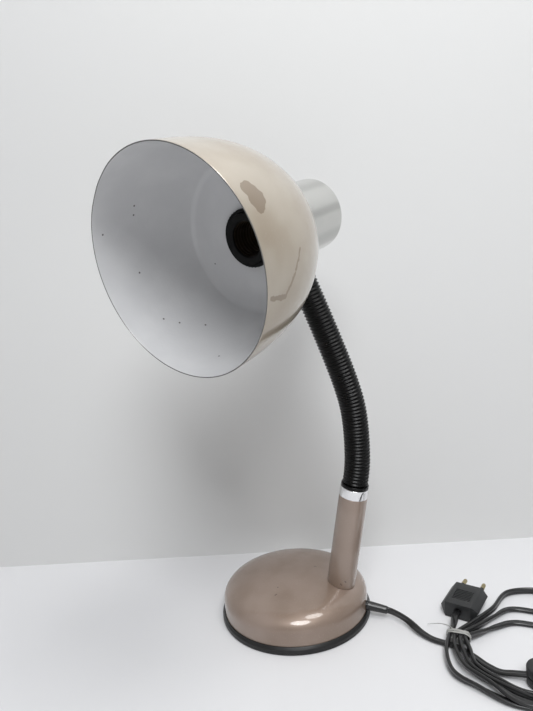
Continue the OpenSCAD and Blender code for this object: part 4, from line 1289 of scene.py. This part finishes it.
@dataclass
class Flex:
    """The flat twin cord: from the strain relief under the tied coil to the switch, round, and to the plug.

    It is wound double. Both ends leave the tie towards the coil's near side, and the fold lies at its far
    right. A station has a place, a height in mm and a roll in degrees, where 90 stands the cord on edge.
    Off the coil the place is x and y in mm. On it the place is u, the share of the way round from the
    tie by the near side, and w, from 0 on the coil's inside to 1 on its outside.

    Attributes:
        width: width of the flat cord.
        core: radius of one of its two cores.
        length: its real length in metres; not used.
        gap: distance between two rings of the finished cord.
        outside: outer edge of the coil, in mm from the tie round.
        inside: its inner edge.
        to_switch: stations from the strain relief to where the cord leaves the switch.
        fold: stations of the fold at the far right.
        first_way: stations on the coil from the switch to the fold.
        way_back: stations on the coil from the fold to the tie.
        to_plug: stations from the tie to the plug.
    """

    width: float = 6.0
    core: float = 1.5
    length: float = 1.75
    gap: float = 1.6
    outside: tuple[tuple[float, float], ...] = (
        (141.5, -15), (141, -23), (146, -40), (158, -54), (178, -62), (200, -73), (230, -72), (270, -58),
        (301, -31), (312, 2), (304, 33), (280, 60), (243, 78), (212, 84), (197, 79), (186, 63), (178, 43),
        (169, 27), (158, 14), (149, 3), (143, -8))
    inside: tuple[tuple[float, float], ...] = (
        (161.5, -18.5), (166, -23), (176, -31), (190, -37), (212, -36), (253, -31), (274, -15), (272, 5),
        (246, 20), (211, 24), (193, 21), (182, 10), (170, -4), (160, -15))
    to_switch: tuple[tuple[float, ...], ...] = (
        (88.12, 6.16, 7.86, 90), (91.07, 6.37, 7.44, 90), (97, 5, 6.6, 90), (103, 2, 6.2, 88),
        (109, -2, 5.6, 70), (115, -6.5, 4.4, 35), (121, -10.5, 3.0, 8), (128, -14, 1.9, 0),
        (135, -16.3, 1.5, 0), (144, -17.8, 1.5, 0), (150, -19.4, 1.5, 0), (157, -22.8, 1.5, 0),
        (166, -29.0, 1.5, 0),
        (175, -36.2, 1.6, 0), (185, -41.8, 2.4, 0), (195, -43.0, 4.4, 0), (205, -43.1, 5.6, 0),
        (219, -43.5, 5.8, 0), (233, -44, 5.8, 0), (247, -44.5, 5.8, 0), (258, -44.4, 5.2, 0),
        (264, -40, 3.6, 0), (267.5, -33, 1.8, 0))
    fold: tuple[tuple[float, ...], ...] = (
        (273.5, -36, 5.0, 0), (277.5, -24, 4.9, 0), (277, -12, 4.8, 0), (280.5, -1, 4.8, 0),
        (289, 4.5, 4.8, 0), (298, 0, 4.8, 0), (301, -10, 4.7, 0), (297, -24, 4.7, 0), (289, -37, 4.7, 0))
    first_way: tuple[tuple[float, ...], ...] = (
        (0.43, 0.06, 1.5, 0), (0.50, 0.12, 1.5, 0), (0.58, 0.16, 1.5, 0), (0.66, 0.12, 1.5, 0),
        (0.73, 0.08, 1.5, 0), (0.80, 0.10, 1.5, 0), (0.865, 0.18, 1.7, 20), (0.93, 0.20, 4.4, 80),
        (0.98, 0.15, 6.2, 90), (1.01, 0.14, 6.3, 90), (1.04, 0.27, 6.1, 90), (1.08, 0.48, 4.6, 90),
        (1.13, 0.60, 3.1, 90), (1.18, 0.65, 3.05, 90), (1.25, 0.66, 3.05, 90), (1.28, 0.665, 2.5, 55),
        (1.305, 0.67, 1.5, 0), (1.35, 0.62, 1.5, 0), (1.40, 0.52, 1.5, 0), (1.50, 0.45, 1.5, 0),
        (1.60, 0.42, 1.5, 0), (1.66, 0.42, 1.5, 0),
        (1.73, 0.42, 1.5, 0), (1.80, 0.50, 1.6, 10), (1.865, 0.60, 2.4, 50), (1.93, 0.50, 4.8, 90),
        (1.98, 0.40, 6.2, 90), (2.01, 0.38, 6.3, 90), (2.04, 0.48, 6.1, 90), (2.08, 0.62, 4.4, 90),
        (2.13, 0.72, 3.1, 90), (2.20, 0.775, 3.05, 90), (2.25, 0.785, 3.2, 90), (2.28, 0.78, 5.0, 70),
        (2.31, 0.745, 5.8, 50), (2.34, 0.69, 5.3, 25))
    way_back: tuple[tuple[float, ...], ...] = (
        (2.335, 0.88, 4.7, 0), (2.29, 0.91, 4.7, 0), (2.25, 0.93, 4.7, 0), (2.21, 0.96, 4.9, 0),
        (2.17, 0.98, 5.1, 0), (2.13, 0.89, 5.2, 45), (2.08, 0.77, 5.6, 70), (2.04, 0.68, 6.1, 90),
        (2.01, 0.61, 6.3, 90), (1.98, 0.62, 6.2, 90), (1.93, 0.80, 4.4, 90), (1.865, 0.95, 3.1, 90),
        (1.80, 1.0, 3.05, 90), (1.73, 1.0, 3.05, 90), (1.66, 1.0, 3.05, 90), (1.58, 1.0, 3.05, 90),
        (1.50, 1.0, 3.05, 90), (1.43, 1.0, 3.05, 90), (1.385, 0.99, 2.6, 60), (1.34, 0.94, 1.7, 10),
        (1.29, 0.92, 1.5, 0), (1.24, 0.91, 1.5, 0), (1.20, 0.93, 1.5, 0), (1.16, 1.05, 1.6, 10),
        (1.12, 1.16, 2.6, 50), (1.08, 1.14, 4.0, 90), (1.04, 0.97, 5.6, 90), (1.00, 0.84, 6.3, 90))
    to_plug: tuple[tuple[float, ...], ...] = (
        (146.3, -6, 6.8, 90), (147.0, 0.5, 7.1, 70), (147.3, 7, 7.2, 30), (147.5, 13.5, 7.1, 0),
        (148.4, 19, 7.0, 0), (149.4, 23.5, 7.0, 0))

    def coil(self, stations: Iterable[Sequence[float]]) -> list[tuple[float, ...]]:
        """Turns places on the coil into points, each with its height and roll kept."""
        loops = []
        for loop in (self.inside, self.outside):
            p = spline(loop, 12, loop=True)
            p = np.vstack([p, p[:1]])
            far = np.r_[0, np.cumsum(np.linalg.norm(np.diff(p, axis=0), axis=1))]
            loops.append((far / far[-1], p))
        out = []
        for u, w, z, roll in stations:
            a, b = (np.array([np.interp(u % 1, f, p[:, k]) for k in range(2)]) for f, p in loops)
            x, y = (1 - w) * a + w * b
            out.append((x, y, z, roll))
        return out

    def route(self) -> np.ndarray:
        """The cord's centre line in mm, with its roll in degrees in the last column."""
        there, back = self.coil(self.first_way), self.coil(self.way_back)
        line = even(spline([*self.to_switch, *there, *self.fold, *back, *self.to_plug], 14), self.gap)
        roll = np.radians(line[:, 3])
        under = self.core * np.abs(np.cos(roll)) + 0.5 * self.width * np.abs(np.sin(roll))
        line[:, 2] = np.maximum(line[:, 2], under + 0.05)
        return line

    def section(self) -> np.ndarray:
        """Outline of the two joined cores, wide way first."""
        c, turns = self.core, [math.radians(t) for t in range(-115, 116, 23)]
        right = [(c + c * math.cos(t), c * math.sin(t)) for t in turns]
        return np.array(right + [(0, 0.72 * c)] + [(-x, -y) for x, y in right] + [(0, -0.72 * c)])

    def build(self, m: dict[str, bpy.types.Material]) -> tuple[bpy.types.Object, np.ndarray]:
        """Makes the cord as one tube.

        Returns:
            The piece and its route in metres.
        """
        line = self.route()
        p, roll = line[:, :3], np.radians(line[:, 3])
        way = np.gradient(p, axis=0)
        way /= np.linalg.norm(way, axis=1)[:, None]
        side = np.cross((0, 0, 1), way)
        side /= np.linalg.norm(side, axis=1)[:, None]
        up = np.cross(way, side)
        wide = np.cos(roll)[:, None] * side + np.sin(roll)[:, None] * up
        thin = np.cross(way, wide)
        cut = self.section()
        rings = p[:, None] + cut[None, :, :1] * wide[:, None] + cut[None, :, 1:] * thin[:, None]
        cord = Shape()
        cord.grid(rings, caps=True)
        made = cord.piece("twin_flex", [m["cord_vinyl"]], sharp=60)
        LOG.info("twin_flex is %.3f m long", float(np.linalg.norm(np.diff(p, axis=0), axis=1).sum()) * MM)
        return made, p * MM


@dataclass
class CordEnds:
    """What is on the cord: strain relief, tie, plug and switch.

    Attributes:
        shell: radius of the shell at the exit.
        exit_z: height of the exit.
        exit_turn: its turn from straight back, in degrees.
        droop: how far the relief points down, in degrees.
        relief: length of the relief.
        plug: the plug's place on the floor and its turn in degrees.
        body: width, height and length of the plug.
        pin: spread, toe-in in degrees and radius of its pins.
        switch: the switch's place on the floor and its turn in degrees.
        case: length, width and height of the switch.
        tip: how far the rocker is tipped at rest, in degrees.
        bundle: middle of the tied strands in X and Z.
        chamfer: how far the slope at the plug's cord end runs.
    """

    shell: float = 69.5
    exit_z: float = 10.5
    exit_turn: float = 4.0
    droop: float = 8.0
    relief: float = 20.0
    plug: Point = (149.0, 22.0, 77.0)
    body: Point = (34.0, 14.0, 37.0)
    pin: Point = (9.3, 1.7, 1.95)
    switch: Point = (233.0, -44.0, -2.0)
    case: Point = (60.0, 22.0, 15.0)
    tip: float = 7.0
    bundle: tuple[float, float] = (152.1, 5.4)
    chamfer: float = 4 * math.sqrt(2)

    @staticmethod
    def lying(place: Point) -> Matrix:
        """Axes of a piece that lies on the floor."""
        a = math.radians(place[2])
        return facing((place[0], place[1], 0), (0, 0, 1), (math.cos(a), math.sin(a), 0))

    def exit_axes(self) -> Matrix:
        """Axes of the exit, with Z out along the cord."""
        t, d = math.radians(self.exit_turn), math.radians(self.droop)
        out = Vector((math.cos(t), math.sin(t), 0))
        return facing(out * self.shell + Vector((0, 0, self.exit_z)),
                      out * math.cos(d) - Vector((0, 0, math.sin(d))), (0, 0, 1))

    def boot(self, m: dict[str, bpy.types.Material]) -> bpy.types.Object:
        """The tapered strain relief with its lip."""
        side = [(5.1, -5.3), (5.1, -2.3), (3.9, -2.3), (3.9, 0.0), (4.6, 0.1), (4.75, 0.9), (4.4, 1.5)]
        side += [(4.2, 2.6), (4.1, 6.0), (3.9, 10.0), (3.7, 14.0)]
        side += [(3.5, self.relief - 1.6), (3.15, self.relief - 0.4), (3.0, self.relief)]
        boot = Shape()
        boot.turn([(0, -5.3)] + rounded(side, 0.25, 2)[2:-2] + [(0, self.relief)], 48)
        made = boot.piece("strain_boot", [m["cord_vinyl"]], self.exit_axes())
        return seat(made, "base", "black_moulding", "cord_relief")

    def tie(self, m: dict[str, bpy.types.Material]) -> bpy.types.Object:
        """The crumpled film tie: two turns of thin band with a loose end."""
        tie, a, (x, z) = Shape(), circle(60), self.bundle
        for low, grow in ((-13.3, 0.0), (-10.9, 0.25)):
            across = (9.6 + grow) * np.sign(np.cos(a)) * np.abs(np.cos(a)) ** 0.6
            upright = (4.8 + grow) * np.sign(np.sin(a)) * np.abs(np.sin(a)) ** 0.7
            crease = 0.22 * np.sin(7 * a + low) + 0.15 * np.sin(17 * a)
            rows = []
            for y, off in ((0, 0), (0, 0.35), (1.3, 0.55), (2.6, 0.35), (2.6, 0), (1.3, 0.2)):
                k = 1 + (off + crease * (0.6 if off else 0.2) - 0.3) / 9
                rows.append(np.stack([x + across * k, low + y + 0.5 * crease, z + upright * k], 1))
            tie.grid(np.array(rows), along=True)
        loose = [(148.5, -9.5, 10.0), (144, -6, 10.4), (137, -1, 8.0), (130, 2.2, 4.6), (124.5, 3.6, 2.2)]
        end = even(spline(loose, 8), 1.2)
        turns, thick = circle(8), np.linspace(0.5, 0.22, len(end))[:, None]
        tie.grid(np.stack([end[:, :1] + 0 * turns, end[:, 1:2] + thick * np.cos(turns),
                           end[:, 2:] + thick * np.sin(turns)], 2), caps=True)
        made = tie.piece("film_tie", [m["tie_film"]], sharp=180)
        edited(made.data, lambda bm: bmesh.ops.recalc_face_normals(bm, faces=bm.faces))
        return seat(made, "base", "tie_film", "cord_tie")

    def plug_pieces(self, m: dict[str, bpy.types.Material]) -> list[bpy.types.Object]:
        """The flat plug with its grip panel, its pins and their sleeves."""
        at, (wide, tall, long) = self.lying(self.plug), self.body
        ridge, half = 0.36 * tall, wide / 2
        rows = []
        for x in (0.0, 1.5, 3.0, 4.5, self.chamfer, long * 0.5, long):
            w = min(half, half - self.chamfer + x)
            a = min(half - ridge, w - 0.01)
            h = min(0.5 * tall - 0.01, 0.5 * tall * (half - w) / ridge) + 0.01
            outline = [(-a, 0), (a, 0), (w, tall / 2 - h), (w, tall / 2 + h), (a, tall), (-a, tall),
                       (-w, tall / 2 + h), (-w, tall / 2 - h)]
            rows.append([(x, y, z) for y, z in outline])
        body = Shape()
        body.grid(np.array(rows), caps=True)
        block = body.piece("plug_case", [m["plug_plastic"]], at)
        panel = Shape()
        panel.block(oblong(9, 25.4, 8), tall - 0.9, tall + 2, 0.01)
        mouth = Shape()
        mouth.turn([(0, -1), (3.6, -1), (3.3, 2.2), (0, 2.2)], 6)
        mouth_at = at @ facing((0, 0, tall / 2), (1, 0, 0), (0, 0, 1))
        cutters = [panel.piece("panel_cutter", [], at), mouth.piece("mouth_cutter", [], mouth_at)]
        softened(block, 0.45, cutters)
        ribs = Shape()
        for k in range(6):
            x = 10.0 + 2.6 * k
            ribs.block(oblong(x, x + 1.3, 7.6), tall - 0.95, tall - 0.1, 0.25)
        grip = ribs.piece("plug_grip", [m["plug_plastic"]], at)
        spread, toe, r = self.pin
        tip = [(r, 10.3), (r, 17.3), (r - 0.12, 17.8), (r - 0.45, 18.5), (1.1, 19.0), (0.6, 19.0), (0, 19.0)]
        sleeve = rounded([(0, -1), (r - 0.15, -1), (r - 0.15, 10), (0, 10)], 0.15, 2)
        pin = [(0, 9), (r - 0.5, 9), (r - 0.5, 10.1), (r - 0.1, 10.1), *tip]
        sleeves, pins = Shape(), Shape()
        for s in (-1, 1):
            t = math.radians(-s * toe)
            pose = facing((long, s * spread, tall / 2), (math.cos(t), math.sin(t), 0), (0, 0, 1))
            for shape, profile in ((sleeves, sleeve), (pins, pin)):
                part = Shape()
                part.turn(profile, 36)
                shape.join(part, pose)
        return [
            seat(block, "base", "plug_plastic", "plug_body"),
            seat(grip, "base", "plug_plastic"),
            seat(sleeves.piece("pin_sleeves", [m["plug_plastic"]], at), "base", "plug_plastic"),
            seat(pins.piece("contact_pins", [m["nickel_brass"]], at), "base", "nickel_brass", "plug_pins"),
        ]

    def switch_pieces(self, m: dict[str, bpy.types.Material]) -> list[bpy.types.Object]:
        """The cord switch: two shells and a rocker with finger ribs."""
        at, (long, wide, tall) = self.lying(self.switch), self.case
        half, r, split = (long - wide) / 2, wide / 2, 0.45 * tall
        ends = [(s * half + r * math.cos(t), r * math.sin(t)) for s, start in ((1, -90), (-1, 90))
                for t in np.radians(np.arange(start, start + 181, 7.5))]
        outline = np.array(ends)
        base, cover = Shape(), Shape()
        base.block(outline, 0.0, split - 0.05, 0.9)
        cover.block(outline, split + 0.05, tall, 1.8)
        tray = base.piece("switch_tray", [m["plug_plastic"]], at)
        window = Shape()
        window.block(oblong(-9.7, 9.7, 5.4), split + 1.2, tall + 2, 0.01)
        lid = cover.piece("switch_lid", [m["plug_plastic"]], at)
        softened(lid, 0.35, [window.piece("window_cutter", [], at)])
        side = [(-3, -3.0), (3, -3.0), (9, 1.8), (9, 3.5), (6.6, 3.75)]
        for k in range(4):
            x = 5.6 - 1.1 * k
            side += [(x, 3.75 + 0.16 * k), (x - 0.35, 3.45 + 0.16 * k), (x - 0.75, 3.95 + 0.13 * k)]
        side += [(0, 4.5), (-9, 3.55), (-9, 1.8)]
        rows = [[(x, y, z) for x, z in side] for y in (4.95, 4.6, -4.6, -4.95)]
        for row in (0, 3):
            rows[row] = [(0.94 * x, y, 0.2 + 0.92 * z) for x, y, z in rows[row]]
        rocker = Shape()
        rocker.grid(np.array(rows), caps=True)
        tip = math.radians(self.tip)
        tilt = at @ facing((0, 0, tall - 4), (math.sin(tip), 0, math.cos(tip)), (1, 0, 0))
        paddle = rocker.piece("switch_paddle", [m["rocker_plastic"]], tilt)
        return [
            seat(tray, "base", "plug_plastic", "switch_base"),
            seat(lid, "base", "plug_plastic", "switch_cover"),
            seat(paddle, "rocker", "rocker_plastic", "switch_rocker"),
        ]

    def build(self, m: dict[str, bpy.types.Material], flex: Flex) -> None:
        cord, path = flex.build(m)
        carried = [self.boot(m), self.tie(m), *self.plug_pieces(m), *self.switch_pieces(m)]
        seat(cord, "base", "cord_pvc", "mains_cord", "cord_coil", "cord_tail")
        [tuple(p) for p in path[::3]] + [tuple(path[-1])]
        carried + [frame["nodes"]["switch_screws"]]


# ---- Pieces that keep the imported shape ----


INSIDE_FINISH: dict[str, tuple[str, ...]] = {
    "felt": ("felt_pad",),
    "zinc_steel": (
        "bottom_plate", "plate_screws", "ballast_bolt", "pillar_plug", "pillar_washer", "pillar_nut",
        "cord_stop", "stop_screw", "swivel_washer", "swivel_nut", "terminal_screws", "holder_bracket",
        "holder_nut", "switch_screws", *(f"neck_hose_{i}" for i in range(1, 9))),
    "cast_iron": ("ballast",),
    "brass": ("pillar_nipple", "swivel_nipple", "centre_contact", "holder_nipple"),
    "bush_steel": ("neck_bush",),
    "bakelite_cap": ("holder_cap",),
    "porcelain": ("holder_insert",),
    "lead_vinyl": ("inner_lead",),
}


def dress_inside(m: dict[str, bpy.types.Material]) -> None:
    """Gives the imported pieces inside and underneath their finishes."""
    for finish, names in INSIDE_FINISH.items():
        for name in names:
            for slot in frame["nodes"][name].material_slots:
                slot.material = m[finish]
        LOG.info("%s: %d packed pieces", finish, len(names))


# ---- Studio ----


class Surface(Enum):
    """What stands behind the lamp, by its display colour."""

    FLOOR = (228, 228, 230)
    WALL = (222, 222, 221)


@dataclass(frozen=True)
class Panel:
    """A round light panel.

    Attributes:
        name: the light's name.
        at: its place in metres.
        aim: what it faces.
        size: its width in metres.
        power: its power in watts.
        warmth: its colour.
    """

    name: str
    at: Point
    aim: Point
    size: float
    power: float
    warmth: Colour

    def build(self) -> bpy.types.Object:
        """Makes the light."""
        data = bpy.data.lights.new(self.name, "AREA")
        data.shape, data.size, data.energy, data.color = "DISK", self.size, self.power, self.warmth
        made = bpy.data.objects.new(self.name, data)
        made.location = self.at
        made.rotation_euler = (Vector(self.aim) - Vector(self.at)).to_track_quat("-Z", "Y").to_euler()
        bpy.context.scene.collection.objects.link(made)
        return made


@dataclass
class Studio:
    """A pale room corner in soft light, and the camera.

    Attributes:
        eye: the camera's place in metres.
        heading: its turn about the vertical in degrees.
        dip: how far it looks down.
        roll: its roll.
        lens: focal length for a 36 mm high frame.
        wall: distance of the wall from the middle of the foot.
        wall_turn: turn of the wall's line from the X axis.
        drop: how far the floor lies under the felt.
        half: half the width of floor and wall, and the wall's height.
        front: how far the floor reaches in front of the wall.
        world: strength of the light from all round, at the horizon and overhead.
        backdrop: how bright that light looks to the eye and in reflections.
        panels: the lights.
    """

    eye: Point = (0.1948, -0.4587, 0.3121)
    heading: float = 24.0
    dip: float = 7.0
    roll: float = -4.805
    lens: float = 27.342
    wall: float = 0.1143
    wall_turn: float = 20.7
    drop: float = 0.0004
    half: float = 3.0
    front: float = 2.2
    world: tuple[float, float] = (0.10, 0.34)
    backdrop: float = 0.5
    panels: tuple[Panel, ...] = (
        Panel("ceiling_light", (0.62, -0.2, 1.65), (0.08, -0.05, 0.1), 0.55, 7.0, (1.0, 0.995, 0.98)),
        Panel("window_light", (0.50, -0.95, 1.30), (0.03, -0.05, 0.25), 0.7, 15.0, (0.97, 0.985, 1.0)),
    )

    def plain(self, surface: Surface) -> bpy.types.Material:
        """A matt pale finish that is see-through from behind."""
        w = Wiring(surface.name.lower())
        here = w.place(own=False)
        clouds = w.noise(here, 3.0, 3).step(0.3, 0.8) * 0.25
        colour = w.mix(clouds, shade_of(*surface.value), shade_of(220, 220, 221))
        grain = w.noise(here, 900.0, 2)
        matt = w.add("ShaderNodeBsdfPrincipled", None, {
            "Base Color": colour, "Roughness": 0.8, "Normal": w.bump(grain, 0.0001, 0.4)})
        back = w.add("ShaderNodeNewGeometry", out="Backfacing")
        clear = w.add("ShaderNodeBsdfTransparent")
        w.add("ShaderNodeOutputMaterial", None, {
            "Surface": w.add("ShaderNodeMixShader", None, {0: back, 1: matt, 2: clear})})
        return w.material

    def sheet(self, corners: Iterable[Vector], surface: Surface) -> bpy.types.Object:
        """One flat face, named after its surface."""
        mesh = bpy.data.meshes.new(surface.name.lower())
        mesh.from_pydata([tuple(c) for c in corners], [], [(0, 1, 2, 3)])
        mesh.materials.append(self.plain(surface))
        return shown(surface.name.lower(), mesh)

    def sheets(self) -> list[bpy.types.Object]:
        """The floor, and the wall that stands on it."""
        a = math.radians(self.wall_turn)
        along, away = Vector((math.cos(a), math.sin(a), 0)), Vector((-math.sin(a), math.cos(a), 0))
        foot, w = away * self.wall + Vector((0, 0, -self.drop)), self.half
        ground = ((-w, 0.02), (-w, -self.front), (w, -self.front), (w, 0.02))
        upright = ((-w, 0), (w, 0), (w, w), (-w, w))
        return [self.sheet([foot + along * x + away * y for x, y in ground], Surface.FLOOR),
                self.sheet([foot + along * x + Vector((0, 0, z)) for x, z in upright], Surface.WALL)]

    def surroundings(self) -> bpy.types.World:
        """Light from all round, stronger overhead, that looks evenly pale to the eye and in reflections."""
        w = Wiring("room", world=True)
        low, high = self.world
        light = w.add("ShaderNodeMapRange", {"interpolation_type": "SMOOTHSTEP"}, {
            "Value": w.part(w.add("ShaderNodeTexCoord", out="Generated"), 2),
            "From Max": 0.85, "To Min": low, "To Max": high})
        camera, glossy, through = (
            w.add("ShaderNodeLightPath", out=f"Is {ray} Ray") for ray in ("Camera", "Glossy", "Transmission"))
        strength = w.add("ShaderNodeMapRange", None, {
            "Value": camera + glossy + through, "To Min": light, "To Max": self.backdrop})
        sky = w.add("ShaderNodeBackground", None, {"Color": shade_of(250, 251, 253), "Strength": strength})
        w.add("ShaderNodeOutputWorld", None, {"Surface": sky})
        return w.material

    def camera(self) -> bpy.types.Object:
        """The camera, rolled about its line of sight."""
        data = bpy.data.cameras.new("camera")
        data.sensor_fit, data.sensor_height, data.lens = "VERTICAL", 36.0, self.lens
        data.clip_start, data.clip_end = 0.01, 20.0
        made = bpy.data.objects.new("camera", data)
        dip, roll = math.radians(self.dip), math.radians(self.roll)
        right, ahead = Vector((1, 0, 0)), Vector((0, math.cos(dip), -math.sin(dip)))
        up = Vector((0, math.sin(dip), math.cos(dip)))
        side = math.cos(roll) * right + math.sin(roll) * up
        top = math.cos(roll) * up - math.sin(roll) * right
        level = Matrix((side, top, -ahead)).transposed().to_4x4()
        pose = Matrix.Rotation(math.radians(self.heading), 4, "Z") @ level
        pose.translation = Vector(self.eye)
        made.matrix_world = pose
        bpy.context.scene.collection.objects.link(made)
        return made

    def build(self) -> None:
        """Makes the floor, the wall, the lights, the world and the camera."""
        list(self.sheets())
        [panel.build() for panel in self.panels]
        scene = bpy.context.scene
        scene.view_settings.view_transform = "Standard"
        scene.world = self.surroundings()
        scene.camera = self.camera()


def joint_named(name: str) -> dict[str, object]:
    """The joint of that name in the record."""
    return next(j for j in frame["joints"] if j["name"] == name)


def head_axes(head: Head) -> Matrix:
    """The head's axes, from the joint that carries it and the socket's mount."""
    swivel = joint_named("head_swivel")
    way = Vector(swivel["axis"]).normalized()
    socket = next(x for x in frame["record"]["mounts"] if x["name"] == "lamp_socket")
    along = -Vector(socket["axis"]).normalized()
    start = Vector(swivel["pos_m"]) / MM + (head.cup + head.saddle) * way - head.nipple * along
    return facing(start, along, -way)


def main() -> None:
    """Builds and dresses every piece in order."""
    logging.basicConfig(level=logging.INFO, format="%(name)s %(message)s")
    m = finishes()
    foot = Foot()
    foot.build(m)
    pillar = Pillar(foot)
    pillar.build(m)
    order = [f"neck_{kind}_{i}" for i, kind in enumerate(("fore", "side") * 4, 1)][:7]
    hinges = [Vector(joint_named(name)["pos_m"]) / MM for name in order]
    end = Vector(joint_named("head_swivel")["pos_m"]) / MM
    bodies = ["base", *(f"link_{i}" for i in range(2, 9))]
    Neck(pillar.axes(pillar.length + pillar.collar).translation, end, hinges, bodies).build(m)
    head = Head(Matrix.Identity(4))
    head.axes = head_axes(head)
    head.build(m)
    CordEnds().build(m, Flex())
    dress_inside(m)
    Studio().build()
    bpy.context.view_layer.update()


if __name__ == "__main__":
    main()
